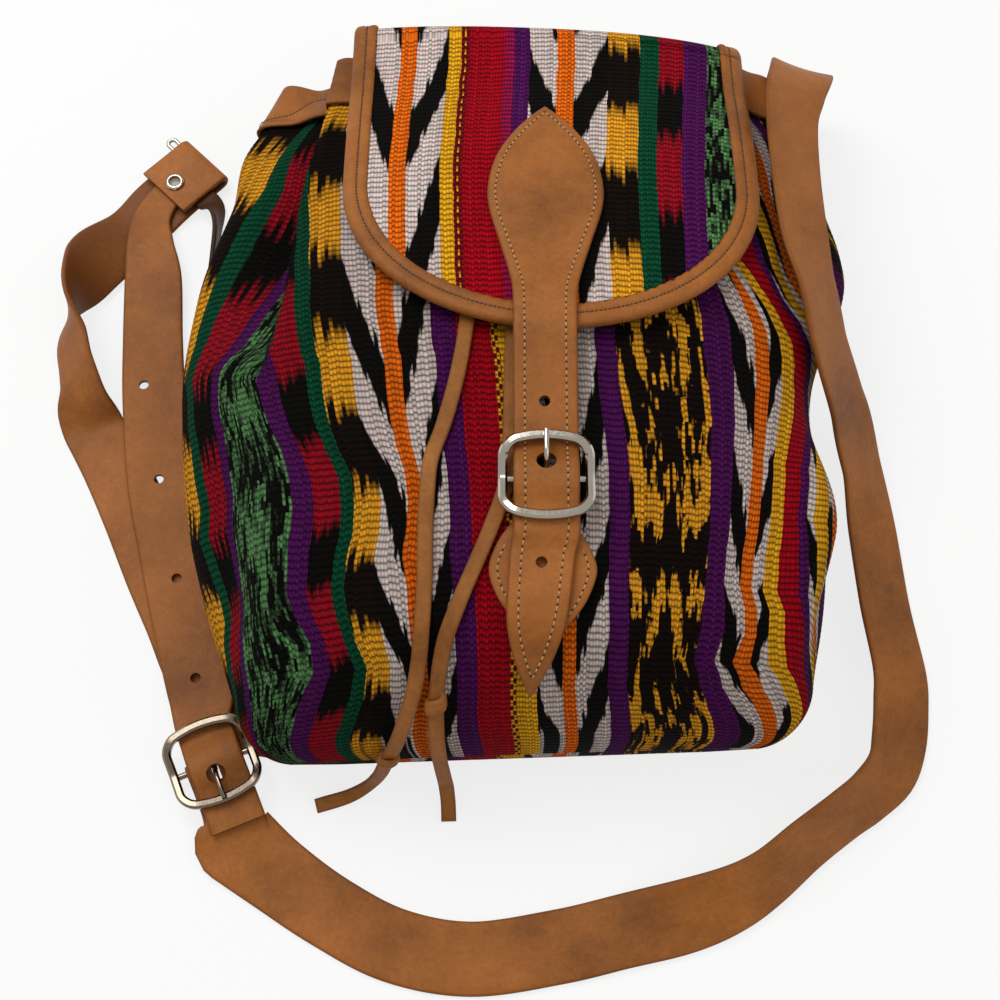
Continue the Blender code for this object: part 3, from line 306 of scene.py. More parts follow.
def front_frames(route, step=2.5, thickness=2.2):
    rows = along_rows([(x, y, float(front_z(x, y)) + h, w) for x, y, h, w in route], step)
    lateral = np.tile((1.0, 0.0, 0.0), (len(rows), 1))
    return np.column_stack([rows[:, :3], lateral, rows[:, 3], np.full(len(rows), thickness)])


print("frames of a straight 100 mm band", len(floor_frames([(0, 0, 0, 0, 0, 28), (100, 0, 0, 0, 0, 28)])))

# %% [markdown]
# ## Vegetable-tanned leather
# The straps are cut from undyed hide that was tanned with bark and oiled. Light and handling turn it
# from pale tan to brown, so its colour drifts along a strap. The grain side is smooth with fine
# pores, the flesh side is rough and darker, and the cut edge is burnished. The material reads
# how far each point lies from the edge and which side it is on, which the band writes into its mesh.

# %% Leather material
def bark_tanned_leather(name, light, middle, dark, flesh, roughness):
    material, tree, shader = new_material(name, Roughness=roughness, IOR=1.5, Specular_IOR_Level=0.22)
    place = add_node(tree, "TexCoord").outputs["Object"]
    inset = add_node(tree, "Attribute", {"attribute_name": "inset"}).outputs["Fac"]
    facing = add_node(tree, "Attribute", {"attribute_name": "facing"}).outputs["Fac"]
    # Drifts of colour about 35 mm wide, and blotches of 5 mm on them
    drift = add_node(tree, "TexNoise", {"Scale": 28.0, "Detail": 3.0}, {"Vector": place})
    blotch = add_node(tree, "TexNoise", {"Scale": 210.0, "Detail": 6.0, "Roughness": 0.7},
                      {"Vector": place})
    both = add_node(tree, "Math", {"operation": "MULTIPLY_ADD", 1: 0.35},
                    {0: blotch, 2: drift})
    ramp = add_node(tree, "ValToRGB", links={0: both})
    stops = ramp.color_ramp.elements
    stops[0].position, stops[0].color = 0.34, linear(dark)
    stops[1].position, stops[1].color = 0.98, linear(light)
    stops.new(0.66).color = linear(middle)
    # Pores of 0.5 mm, drawn a little coarser than the real 0.2 mm so that they show
    pores = add_node(tree, "TexVoronoi", {"Scale": 1900.0}, {"Vector": place})
    creases = add_node(tree, "TexNoise", {"Scale": 520.0, "Detail": 8.0, "Roughness": 0.75},
                       {"Vector": place})
    # Burnished rim in the last 1.2 mm, and the rough flesh side below
    grain = add_node(tree, "MapRange", {1: 0.3, 2: 0.7, 3: 0.80, 4: 1.12}, {0: creases})
    grained = add_node(tree, "VectorMath", {"operation": "SCALE"}, {0: ramp, "Scale": grain})
    rim = add_node(tree, "MapRange", {1: 0.0, 2: 1.3, 3: 0.62, 4: 0.0}, {0: inset})
    edged = add_node(tree, "Mix", {"data_type": "RGBA", 7: linear(dark)}, {0: rim, 6: grained})
    under = add_node(tree, "MapRange", {1: -0.3, 2: -0.9, 3: 0.0, 4: 0.85}, {0: facing})
    fibres = add_node(tree, "ValToRGB", links={0: creases})
    fibres.color_ramp.elements[0].color, fibres.color_ramp.elements[1].color = linear(dark), linear(flesh)
    fibres.color_ramp.elements[0].position, fibres.color_ramp.elements[1].position = 0.32, 0.62
    sided = add_node(tree, "Mix", {"data_type": "RGBA"},
                     {0: under, 6: edged.outputs[2], 7: fibres})
    tree.links.new(sided.outputs[2], shader.inputs["Base Color"])
    height = add_node(tree, "Math", {"operation": "MULTIPLY_ADD", 1: 0.35},
                      {0: pores, 2: creases})
    bump = add_node(tree, "Bump", {"Strength": 0.32, "Distance": 0.0006}, {"Height": height})
    tree.links.new(bump.outputs[0], shader.inputs["Normal"])
    return material


strap_leather = bark_tanned_leather("bark_tanned_leather", "#AB672B", "#92561F", "#66380F", "#744119", 0.5)
# A darker copy of the strap leather for the hanger strip, which stands on edge beside the holed strap:
# painted shade
hanger_shaded_leather = bark_tanned_leather("hanger_leather_painted_shade", "#5E371B", "#4A2A13", "#301A0B", "#3E2411", 0.55)
thong_leather = bark_tanned_leather("thong_leather", "#AA6D35", "#905822", "#643810", "#75431A", 0.6)
print("leathers", strap_leather.name, hanger_shaded_leather.name, thong_leather.name)

# %% [markdown]
# A band is lofted through its frames with rounded edges, because leather that is cut and rubbed has
# no sharp corner. A flat strip with a Solidify modifier would be quicker, but its edge would stay
# square, and the rounded edge is what catches the light.

# %% Leather band
def band_section(width, thickness, tops=9):
    half = width / 2.0
    bend = np.minimum(thickness * 0.48, half * 0.6)
    flat = np.linspace(-1.0, 1.0, tops)
    arc = np.radians((60.0, 30.0, 0.0, -30.0, -60.0))
    reach, tall = (half - bend)[:, None], (thickness / 2.0)[:, None]
    bend = bend[:, None]
    across = np.hstack([reach * flat, reach + bend * np.cos(arc), -reach * flat,
                        -reach - bend * np.cos(arc[::-1])])
    level = np.hstack([tall + 0 * flat, tall * np.sin(arc), -tall + 0 * flat, tall * np.sin(arc[::-1])])
    side = np.concatenate([np.ones(tops), np.sin(arc), -np.ones(tops), np.sin(arc[::-1])])
    return across, level, np.tile(side, (len(width), 1))


def band_axes(frames):
    middle = frames[:, :3]
    tangent = unit(np.gradient(middle, axis=0))
    lateral = square_to(frames[:, 3:6], tangent)
    return middle, lateral, np.cross(lateral, tangent), frames[:, 6], frames[:, 7]


def leather_band(name, frames, material, body, stands_for, tops=9, wave=0.0, grain=1.0):
    middle, lateral, rise, width, thickness = band_axes(frames)
    along = run_along(middle)
    width = width + wave * (np.sin(along / 7.3) + 0.6 * np.sin(along / 3.1 + 1.0))
    across, level, side = band_section(width, thickness, tops)
    points = (middle[:, None] + lateral[:, None] * across[..., None] + rise[:, None] * level[..., None])
    points[..., 2] = np.maximum(points[..., 2], 0.05)
    rows, columns = across.shape
    faces = grid_faces(rows, columns, closed_across=True)
    faces += [list(range(columns))[::-1], list(range((rows - 1) * columns, rows * columns))]
    inset = width[:, None] / 2.0 - np.abs(across)
    values = {"inset": inset, "facing": side * grain}
    made = add_piece(name, points.reshape(-1, 3), faces, material, body, stands_for, values)
    return face_outwards(made)


print("points round a band's section", band_section(np.array([28.0]), np.array([2.2]))[0].shape[1])

# %% [markdown]
# ## The drawstring thongs
# Two flat leather thongs close the mouth. Each comes out under the flap, lies on the cloth under the
# closure strap, falls over the bag's lower edge and ends in a knot and a short tail. They are
# limp, so they follow what is under them.

# %% Thong routes
LEFT_THONG = (
    (-8.0, 105.0, 1.3, 0.0), (-9.5, 85.0, 1.3, 0.0), (-12.0, 55.0, 1.3, 0.0), (-15.0, 20.0, 1.3, 0.0),
    (-18.0, -14.0, 1.3, 0.0), (-21.5, -36.0, 1.3, 0.0), (-26.0, -54.0, 1.3, 0.0),
    (-30.5, -68.0, 1.3, 0.0), (-32.0, -92.0, 1.3, 0.0), (-32.0, -112.0, 1.6, 0.0),
    (-33.0, -130.0, 1.9, 15.0), (-34.0, -140.0, 2.3, 30.0))
LEFT_FALL = ((-36.0, -150.0, 76.5, 50.0), (-39.5, -158.0, 66.0, 65.0), (-43.0, -163.0, 54.0, 75.0),
             (-45.5, -165.0, 45.5, 80.0))
LEFT_TAIL = ((-48.6, -167.0, 34.5, 85.0), (-51.0, -167.8, 24.0, 85.0), (-55.5, -169.0, 13.0, 75.0),
             (-63.5, -171.5, 4.6, 40.0), (-77.0, -175.0, 1.4, 5.0))
RIGHT_THONG = (
    (6.0, 105.0, 1.3, 0.0), (5.0, 80.0, 1.3, 0.0), (3.0, 45.0, 1.3, 0.0), (1.0, 10.0, 1.3, 0.0),
    (-0.5, -25.0, 1.3, 0.0), (-1.0, -52.0, 1.3, 0.0), (-2.6, -76.0, 1.3, 0.0), (-7.6, -92.0, 1.3, 0.0),
    (-14.2, -108.0, 1.3, 0.0), (-20.0, -122.0, 1.7, 5.0), (-24.6, -134.0, 1.9, 20.0),
    (-26.5, -142.0, 2.3, 33.0), (-27.8, -149.0, 2.9, 45.0))
RIGHT_TAIL = ((-28.2, -159.2, 65.8, 60.0), (-28.0, -163.5, 57.0, 72.0), (-27.4, -166.8, 44.0, 82.0),
              (-26.3, -169.2, 26.0, 85.0), (-25.6, -171.0, 11.0, 75.0), (-25.2, -175.0, 3.5, 40.0),
              (-25.0, -181.0, 1.4, 10.0))
LEFT_KNOT, RIGHT_KNOT = (-47.0, -166.0, 40.0), (-28.3, -154.5, 70.5)
KNOT_SIZE = (9.5, 7.0, 9.0)


def thong_frames(rows, step=2.2):
    rows = along_rows(rows, 11.0)
    tangent = np.gradient(rows[:, :3], axis=0)
    facing = np.radians(rows[:, 3])
    away = np.stack([0.0 * facing, -np.sin(facing), np.cos(facing)], 1)
    lateral = unit(np.cross(tangent, away))
    return even_rows(np.column_stack([rows[:, :3], lateral]), step)


print("knots", LEFT_KNOT, RIGHT_KNOT)

# %% Knot and thong
def thong_knot(name, middle, direction, material, stands_for):
    wide, deep, tall = (v / 2.0 for v in KNOT_SIZE)
    turns, sides, wraps = 150, 10, 2.35
    t = np.linspace(0.0, 1.0, turns)
    angle = 2.0 * math.pi * wraps * t
    swell = 0.70 + 0.10 * np.sin(math.pi * t)
    line = np.stack([swell * (wide - 1.3) * 1.12 * np.cos(angle), swell * (deep - 1.2) * 1.1 * np.sin(angle),
                     (tall - 2.2) * (2.0 * t - 1.0) + 1.1 * np.sin(angle + 0.6)], 1)
    tangent = unit(np.gradient(line, axis=0))
    outward = square_to(line * (1.0, 1.0, 0.35), tangent)
    beside = np.cross(tangent, outward)
    turn = np.linspace(0.0, 2.0 * math.pi, sides, endpoint=False)
    points = (line[:, None] + outward[:, None] * (1.15 * np.cos(turn))[None, :, None]
              + beside[:, None] * (2.1 * np.sin(turn))[None, :, None])
    turned = Vector((0.0, 0.0, -1.0)).rotation_difference(Vector(direction)).to_matrix()
    points = points.reshape(-1, 3) @ np.array(turned).T + np.asarray(middle)
    faces = grid_faces(turns, sides, closed_across=True)
    faces += [list(range(sides))[::-1], list(range((turns - 1) * sides, turns * sides))]
    inset = np.tile(3.0 - 2.6 * np.abs(np.sin(turn)), (turns, 1))
    values = {"inset": inset, "facing": np.ones(turns * sides)}
    return add_piece(name, points, faces, material, "bag", stands_for, values)


def make_thong(side, route, fall, knot, tail):
    run = [(x, y, float(front_z(x, y)) + h, facing) for x, y, h, facing in route] + list(fall)
    end = np.array(run[-1][:3])
    reach = KNOT_SIZE[2] / 2.0 + GAP
    to_knot = (np.array(knot) - end) / np.linalg.norm(np.array(knot) - end)
    middle = end + to_knot * reach
    leaving = (np.array(tail[0][:3]) - middle) / np.linalg.norm(np.array(tail[0][:3]) - middle)
    start = middle + leaving * reach
    tail_rows = [(*start, tail[0][3]), *tail[1:]]
    first, last = thong_frames(run), thong_frames(tail_rows)
    rows = even_rows(np.vstack([first, last]), 2.2)
    count = len(rows)
    frames = np.column_stack([rows, np.full(count, 5.9), np.full(count, 1.45)])
    lump = thong_knot(f"{side}_thong_knot", middle, start - end, thong_leather, [f"{side}_drawstring_knot"])
    band = leather_band(f"{side}_thong", frames, thong_leather, "bag",
                        [f"{side}_drawstring", f"{side}_drawstring_tail"], tops=5, wave=0.07)
    return band


make_thong("left", LEFT_THONG, LEFT_FALL, LEFT_KNOT, LEFT_TAIL)
make_thong("right", RIGHT_THONG, (), RIGHT_KNOT, RIGHT_TAIL)

# %% [markdown]
# ## Floor and light
# The bag lies on a plain white sweep under a large soft lamp. The floor shows white to the camera
# and to reflections, through Light Path, and keeps the bag's shadow. The object itself
# gets plain light, so that a colour renders about as it is written.

# %% Floor, world and lamps
floor_mesh = bpy.data.meshes.new("floor")
floor_mesh.from_pydata([(-3, -3, 0), (3, -3, 0), (3, 3, 0), (-3, 3, 0)], [], [(0, 1, 2, 3)])
floor = bpy.data.objects.new("floor", floor_mesh)
bpy.context.collection.objects.link(floor)
paper, tree, shader = new_material("white_paper", Roughness=0.9)
shader.inputs["Base Color"].default_value = linear("#E9E9E7")
rays = add_node(tree, "LightPath")
seen = add_node(tree, "Math", {"operation": "MAXIMUM"}, {0: rays.outputs["Is Camera Ray"],
                                                        1: rays.outputs["Is Glossy Ray"]})
seen = add_node(tree, "Math", {"operation": "MAXIMUM"}, {0: seen,
                                                        1: rays.outputs["Is Transmission Ray"]})
share = add_node(tree, "Math", {"operation": "MULTIPLY", 1: 0.78}, {0: seen})
glow = add_node(tree, "Emission", {"Color": (1.0, 1.0, 1.0, 1.0), "Strength": 1.0})
mixed = add_node(tree, "MixShader", links={0: share, 1: shader, 2: glow})
tree.links.new(mixed.outputs[0], tree.nodes["Material Output"].inputs["Surface"])
floor_mesh.materials.append(paper)

world = bpy.data.worlds.new("studio")
bpy.context.scene.world = world
world.use_nodes = True
tree = world.node_tree
soft = tree.nodes["Background"]
soft.inputs["Color"].default_value = (1.0, 1.0, 1.0, 1.0)
soft.inputs["Strength"].default_value = 0.52
rays = add_node(tree, "LightPath")
white = add_node(tree, "Background", {"Color": (1.0, 1.0, 1.0, 1.0), "Strength": 1.0})
choice = add_node(tree, "MixShader", links={0: rays.outputs["Is Camera Ray"], 1: soft,
                                            2: white})
tree.links.new(choice.outputs[0], tree.nodes["World Output"].inputs["Surface"])
bpy.context.scene.view_settings.view_transform = "Standard"

for name, place, size, power in (("key_lamp", (-0.55, 0.55, 1.25), 0.9, 13.0),
                                 ("fill_lamp", (0.9, -0.35, 1.1), 1.2, 3.5)):
    lamp = bpy.data.lights.new(name, "AREA")
    lamp.size, lamp.energy = size, power
    holder = bpy.data.objects.new(name, lamp)
    holder.location = place
    holder.rotation_euler = (Vector((0.0, 0.0, 0.03)) - Vector(place)).to_track_quat("-Z", "Y").to_euler()
    bpy.context.collection.objects.link(holder)
    print(name, power, "W")

# %% [markdown]
# ## The woven cloth
# The cloth is warp-faced cotton: the coloured threads run down the bag and cover the weft, which
# shows only as fine ribs across. Some threads were tie-dyed before weaving, so their
# light and dark parts meet in ragged steps. The material works in millimetres on the flat cloth:
# u runs across the threads, v along them, and dye is v as the tie-dye counts it. Colour ramps with
# hard steps choose each stripe's ground colour, its second colour, how the two are mixed and where
# the motif's middle lies.

# %% Yarn colours
YARN = {"crimson": "#A80519", "magenta": "#A01448", "purple": "#541357", "green": "#084A2F",
        "yellow": "#F2AE1D", "orange": "#F06C10", "white": "#DCC9C1", "black": "#0E0B09",
        "brown": "#160C07", "ikat_yellow": "#EFA324", "ikat_red": "#9E0E20", "mottle": "#5F8F58",
        "dark_red": "#6E0A14"}
# How a stripe's two colours are mixed, coded in red, green and blue
MIXES = {"plain": (0.0, 0.0, 0.0), "feather": (1.0, 0.0, 0.0), "blocks": (0.0, 1.0, 0.0),
         "mottle": (0.0, 0.0, 1.0), "jaspe": (1.0, 1.0, 0.0), "dashes": (0.0, 1.0, 1.0)}
print("yarns", ", ".join(YARN))

# %% Parts of the woven material
# The real ribs lie about 2.2 mm apart, and the real threads are finer than these. Both are drawn a
# little coarser, so that they show.
THREAD, RIB = 1.25, 2.6
# One ramp can hold 32 steps, so wide cloth takes two or more of them
STOPS_PER_RAMP = 28


def stripe_ramp(tree, share, places, colours):
    chosen = None
    for first in range(0, len(places), STOPS_PER_RAMP):
        last = first + STOPS_PER_RAMP
        made = add_node(tree, "ValToRGB", links={0: share})
        made.color_ramp.interpolation = "CONSTANT"
        stops = made.color_ramp.elements
        for index, (place, colour) in enumerate(zip(places[first:last], colours[first:last])):
            stop = stops[index] if index < 2 else stops.new(place)
            stop.position, stop.color = place, colour
        if chosen is None:
            chosen = made.outputs[0]
        else:
            beyond = add_node(tree, "Math", {"operation": "GREATER_THAN"}, {0: share, 1: places[first]})
            mixed = add_node(tree, "Mix", {"data_type": "RGBA"}, {0: beyond, 6: chosen, 7: made})
            chosen = mixed.outputs[2]
    return chosen


def dyed_patterns(tree, on_cloth, on_thread, centre, repeat, start):
    u, v, dye = on_cloth
    thread, chance, jag = on_thread
    # How far a thread lies from the middle of its motif
    off = add_node(tree, "Math", {"operation": "SUBTRACT"}, {0: u, 1: centre})
    off = add_node(tree, "Math", {"operation": "ABSOLUTE"}, {0: off})
    # Feather: chevrons that point down, one in each repeat
    leaning = add_node(tree, "Math", {"operation": "ADD"}, {0: dye, 1: start})
    leaning = add_node(tree, "Math", {"operation": "MULTIPLY_ADD"}, {0: off, 1: -3.4, 2: leaning})
    leaning = add_node(tree, "Math", {"operation": "MULTIPLY_ADD"}, {0: jag, 1: 8.0, 2: leaning})
    feather = add_node(tree, "Math", {"operation": "DIVIDE"}, {0: leaning, 1: repeat})
    feather = add_node(tree, "Math", {"operation": "PINGPONG"}, {0: feather, 1: 0.5})
    # Blocks, with ends that stand out like spikes
    ragged = add_node(tree, "Math", {"operation": "MULTIPLY_ADD"}, {0: jag, 1: 11.0, 2: dye})
    block = add_node(tree, "Math", {"operation": "ADD"}, {0: ragged, 1: centre})
    block = add_node(tree, "Math", {"operation": "DIVIDE"}, {0: block, 1: repeat})
    block = add_node(tree, "Math", {"operation": "PINGPONG"}, {0: block, 1: 0.5})
    # Mottle: short dashes along each thread, closer together in some places
    row = add_node(tree, "Math", {"operation": "MULTIPLY_ADD"}, {0: chance, 1: 9.0, 2: v})
    row = add_node(tree, "Math", {"operation": "DIVIDE"}, {0: row, 1: 2.0 * RIB})
    row = add_node(tree, "Math", {"operation": "FLOOR"}, {0: row})
    pair = add_node(tree, "CombineXYZ", links={0: thread, 1: row})
    dash = add_node(tree, "TexWhiteNoise", {"noise_dimensions": "2D"}, {"Vector": pair}).outputs["Value"]
    wide_u = add_node(tree, "Math", {"operation": "MULTIPLY"}, {0: u, 1: 0.11})
    wide_v = add_node(tree, "Math", {"operation": "MULTIPLY"}, {0: v, 1: 0.035})
    wide = add_node(tree, "CombineXYZ", links={0: wide_u, 1: wide_v})
    places = add_node(tree, "TexNoise", {"Scale": 1.0, "Detail": 2.0}, {"Vector": wide})
    mottle = add_node(tree, "Math", {"operation": "MULTIPLY_ADD"}, {0: places, 1: 1.9, 2: dash})
    # Jaspe: a figure that mirrors about the middle of its band and comes and goes along it
    figure_u = add_node(tree, "Math", {"operation": "MULTIPLY"}, {0: off, 1: 0.20})
    figure_v = add_node(tree, "Math", {"operation": "MULTIPLY"}, {0: ragged, 1: 0.042})
    figure = add_node(tree, "CombineXYZ", links={0: figure_u, 1: figure_v})
    cloud = add_node(tree, "TexNoise", {"Scale": 1.0, "Detail": 1.0}, {"Vector": figure})
    swing = add_node(tree, "Math", {"operation": "MULTIPLY"}, {0: dye, 1: 2.0 * math.pi / repeat})
    swing = add_node(tree, "Math", {"operation": "SINE"}, {0: swing})
    cloud = add_node(tree, "Math", {"operation": "MULTIPLY_ADD"}, {0: swing, 1: 0.075, 2: cloud})
    broken = add_node(tree, "Math", {"operation": "SUBTRACT"}, {0: dash, 1: 0.5})
    cloud = add_node(tree, "Math", {"operation": "MULTIPLY_ADD"}, {0: broken, 1: 0.16, 2: cloud})
    core = add_node(tree, "Math", {"operation": "LESS_THAN"}, {0: off, 1: 2.6})
    cloud = add_node(tree, "Math", {"operation": "MULTIPLY_ADD"}, {0: core, 1: -0.07, 2: cloud})
    jaspe = add_node(tree, "Math", {"operation": "MULTIPLY_ADD"}, {0: jag, 1: 0.08, 2: cloud})
    # Dashes: a thread shows one rib and hides the next, and its neighbour does the opposite
    dashes = add_node(tree, "Math", {"operation": "MULTIPLY_ADD"}, {0: thread, 1: RIB, 2: v})
    dashes = add_node(tree, "Math", {"operation": "DIVIDE"}, {0: dashes, 1: 2.0 * RIB})
    dashes = add_node(tree, "Math", {"operation": "PINGPONG"}, {0: dashes, 1: 0.5})
    # Each pattern turns from one colour to the other at an edge, more softly where the dye crept
    edges = ((feather, 0.235, 0.02), (block, 0.265, 0.05), (mottle, 1.55, 0.28), (jaspe, 0.55, 0.02),
             (dashes, 0.25, 0.05))
    return [add_node(tree, "MapRange", {1: edge - softness, 2: edge + softness}, {0: value})
            for value, edge, softness in edges]


def beaded_shade(tree, u, v, thread, chance, jag, depth):
    # Each float of a thread is a bead, brightest on its crown. The shade between two ribs is deeper
    # than between two threads, because the weft pulls the warp down there.
    across = add_node(tree, "Math", {"operation": "MULTIPLY"}, {0: u, 1: math.pi / THREAD})
    along = add_node(tree, "Math", {"operation": "MULTIPLY_ADD"}, {0: jag, 1: 1.1, 2: v})
    along = add_node(tree, "Math", {"operation": "MULTIPLY"}, {0: along, 1: math.pi / RIB})
    crowns = []
    for wave, sharpness in ((across, 0.9), (along, 0.85)):
        wave = add_node(tree, "Math", {"operation": "SINE"}, {0: wave})
        wave = add_node(tree, "Math", {"operation": "ABSOLUTE"}, {0: wave})
        crowns.append(add_node(tree, "Math", {"operation": "POWER"}, {0: wave, 1: sharpness}))
    between = add_node(tree, "Math", {"operation": "MULTIPLY_ADD"}, {0: crowns[0], 1: 0.45, 2: 0.55})
    bead = add_node(tree, "Math", {"operation": "MULTIPLY"}, {0: crowns[1], 1: between})
    # Threads take up the dye unevenly, from thread to thread and from rib to rib
    rib_number = add_node(tree, "Math", {"operation": "DIVIDE"}, {0: v, 1: RIB})
    rib_number = add_node(tree, "Math", {"operation": "FLOOR"}, {0: rib_number})
    place = add_node(tree, "CombineXYZ", links={0: thread, 1: rib_number})
    spot = add_node(tree, "TexWhiteNoise", {"noise_dimensions": "2D"}, {"Vector": place}).outputs["Value"]
    tint = add_node(tree, "Math", {"operation": "MULTIPLY_ADD"}, {0: spot, 1: 0.24, 2: 0.72})
    tint = add_node(tree, "Math", {"operation": "MULTIPLY_ADD"}, {0: chance, 1: 0.24, 2: tint})
    # depth darkens the whole cloth evenly: painted shade, deeper on the bag's body than on the flap
    lit = add_node(tree, "Math", {"operation": "MULTIPLY_ADD"}, {0: bead, 1: 1.02 * depth, 2: 0.17 * depth})
    return bead, add_node(tree, "Math", {"operation": "MULTIPLY"}, {0: lit, 1: tint})


print("a dash is", 2.0 * RIB, "mm long")

# %% Yarn and weave together
def warp_faced_cotton(name, stripes, lowest, highest, repeat, start, depth):
    # A plain stripe gives only its place and its yarn
    stripes = [(*stripe, stripe[1], "plain", 0)[:5] for stripe in stripes]
    span = highest - lowest
    material, tree, shader = new_material(name, Roughness=0.85, IOR=1.5, Specular_IOR_Level=0.05)
    u, v, dye = (add_node(tree, "Attribute", {"attribute_name": key}).outputs["Fac"]
                 for key in ("u", "v", "dye"))
    # Each warp thread has a number, and a chance value from it
    thread = add_node(tree, "Math", {"operation": "DIVIDE"}, {0: u, 1: THREAD})
    thread = add_node(tree, "Math", {"operation": "FLOOR"}, {0: thread})
    chance = add_node(tree, "TexWhiteNoise", {"noise_dimensions": "1D"}, {"W": thread}).outputs["Value"]
    jag = add_node(tree, "Math", {"operation": "SUBTRACT"}, {0: chance, 1: 0.5})
    # Stripe borders wander by less than a thread, because the threads shift as they are beaten in
    wander = add_node(tree, "TexNoise", {"noise_dimensions": "1D", "Scale": 0.06, "Detail": 2.0}, {"W": v})
    wander = add_node(tree, "Math", {"operation": "SUBTRACT"}, {0: wander, 1: 0.5})
    u_soft = add_node(tree, "Math", {"operation": "MULTIPLY_ADD"}, {0: wander, 1: 1.6, 2: u})

    share = add_node(tree, "Math", {"operation": "SUBTRACT"}, {0: u_soft, 1: lowest})
    share = add_node(tree, "Math", {"operation": "DIVIDE"}, {0: share, 1: span})
    starts, grounds, seconds, mixes, middles = zip(*stripes)
    places = [(at - lowest) / span for at in starts]
    ground = stripe_ramp(tree, share, places, [linear(YARN[yarn]) for yarn in grounds])
    second = stripe_ramp(tree, share, places, [linear(YARN[yarn]) for yarn in seconds])
    kinds = stripe_ramp(tree, share, places, [(*MIXES[mix], 1.0) for mix in mixes])
    centres = stripe_ramp(tree, share, places, [((at - lowest) / span,) * 3 + (1.0,) for at in middles])
    centre = add_node(tree, "Math", {"operation": "MULTIPLY_ADD"}, {0: centres, 1: span, 2: lowest})
    patterns = dyed_patterns(tree, (u, v, dye), (thread, chance, jag), centre, repeat, start)
    feather, block, mottle, jaspe, dashes = patterns

    # A stripe's mix is coded in red, green and blue, and picks one of the patterns
    red, green, blue = list(add_node(tree, "SeparateColor", links={0: kinds}).outputs)[:3]
    not_red, not_green, not_blue = (add_node(tree, "Math", {"operation": "SUBTRACT"}, {0: 1.0, 1: code})
                                    for code in (red, green, blue))
    only_green = add_node(tree, "Math", {"operation": "MULTIPLY"}, {0: not_red, 1: not_blue})
    total = 0.0
    for pattern, first, other in ((feather, red, not_green), (block, green, only_green),
                                  (mottle, blue, not_green), (jaspe, red, green), (dashes, green, blue)):
        picked = add_node(tree, "Math", {"operation": "MULTIPLY"}, {0: first, 1: other})
        total = add_node(tree, "Math", {"operation": "MULTIPLY_ADD"}, {0: picked, 1: pattern, 2: total})
    colour = add_node(tree, "Mix", {"data_type": "RGBA"}, {0: total, 6: ground, 7: second}).outputs[2]

    bead, shade = beaded_shade(tree, u, v, thread, chance, jag, depth)
    grey = add_node(tree, "CombineColor", links={0: shade, 1: shade, 2: shade})
    toned = add_node(tree, "Mix", {"data_type": "RGBA", "blend_type": "MULTIPLY", 0: 1.0},
                     {6: colour, 7: grey})
    tree.links.new(toned.outputs[2], shader.inputs["Base Color"])
    place = add_node(tree, "TexCoord").outputs["Object"]
    fuzz = add_node(tree, "TexNoise", {"Scale": 2400.0, "Detail": 3.0}, {"Vector": place})
    height = add_node(tree, "Math", {"operation": "MULTIPLY_ADD"}, {0: fuzz, 1: 0.25, 2: bead})
    bump = add_node(tree, "Bump", {"Strength": 0.75, "Distance": 0.0006}, {"Height": height})
    tree.links.new(bump.outputs[0], shader.inputs["Normal"])
    return material


print("threads every", THREAD, "mm, ribs every", RIB, "mm")

# %% [markdown]
# The stripes follow the photograph. Left of the mottled band and beyond the right edge, where the
# bag turns away, the order goes on as the weaver's repeat would have it. A plain stripe needs only
# its place and its yarn.

# %% Stripes of the bag
def chevrons(start, core, core_end, middle):
    # Black and white chevrons run down both sides of an orange stripe
    return ((start, "black", "white", "feather", middle), (core, "orange"),
            (core_end, "black", "white", "feather", middle))


BAG_STRIPES = (
    # where it starts in mm, ground yarn, second yarn, mix, middle of the motif
    (-230.0, "crimson"), (-212.0, "purple"), *chevrons(-204.0, -193.0, -186.0, -190),
    (-174.0, "purple"), (-168.0, "brown", "ikat_yellow", "blocks", 3), (-149.0, "green"),
    (-143.0, "ikat_red", "black", "blocks", -17), (-132.6, "purple"),
    (-127.4, "black", "mottle", "mottle", 0), (-89.9, "purple"),
    (-83.6, "ikat_red", "black", "blocks", -10), (-73.4, "green"),
    (-67.4, "brown", "ikat_yellow", "blocks", 33), *chevrons(-56.7, -46.1, -39.4, -42.7),
    (-30.1, "purple"), (-22.0, "crimson"), (-6.6, "dark_red", "yellow", "dashes", 0),
    (-5.3, "dark_red"), (-4.0, "yellow"), *chevrons(2.0, 13.3, 19.9, 16.6), (33.9, "purple"),
    (42.2, "brown", "ikat_yellow", "jaspe", 57.9), (73.6, "purple"), *chevrons(81.0, 88.6, 93.7, 91.1),
    (99.7, "yellow"), (105.2, "crimson"), (111.9, "purple"), (113.6, "black", "white", "feather", 118),
    (116.5, "yellow"), *chevrons(120.5, 125.0, 131.0, 128), (140.0, "purple"),
    (148.0, "brown", "ikat_yellow", "jaspe", 163), (178.0, "purple"),
    *chevrons(186.0, 197.0, 204.0, 200), (214.0, "brown", "ikat_yellow", "blocks", 33),
    (225.0, "green"), (231.0, "ikat_red", "black", "blocks", -10), (241.0, "purple"),
    (247.0, "black", "mottle", "mottle", 0), (284.0, "purple"),
    (290.0, "ikat_red", "black", "blocks", -10), (300.0, "green"),
    (306.0, "brown", "ikat_yellow", "blocks", 33), *chevrons(317.0, 328.0, 335.0, 331),
    (345.0, "purple"), (353.0, "crimson"), (372.0, "yellow"), *chevrons(378.0, 389.0, 396.0, 392),
    (408.0, "purple"), (416.0, "crimson"), (436.0, "yellow"))
# The last number, 0.64, darkens the body cloth as a whole: painted shade
bag_cotton = warp_faced_cotton("warp_faced_cotton_bag", BAG_STRIPES, -230.0, 460.0, 58.0, 18.0, 0.64)
print("stripes", len(BAG_STRIPES))

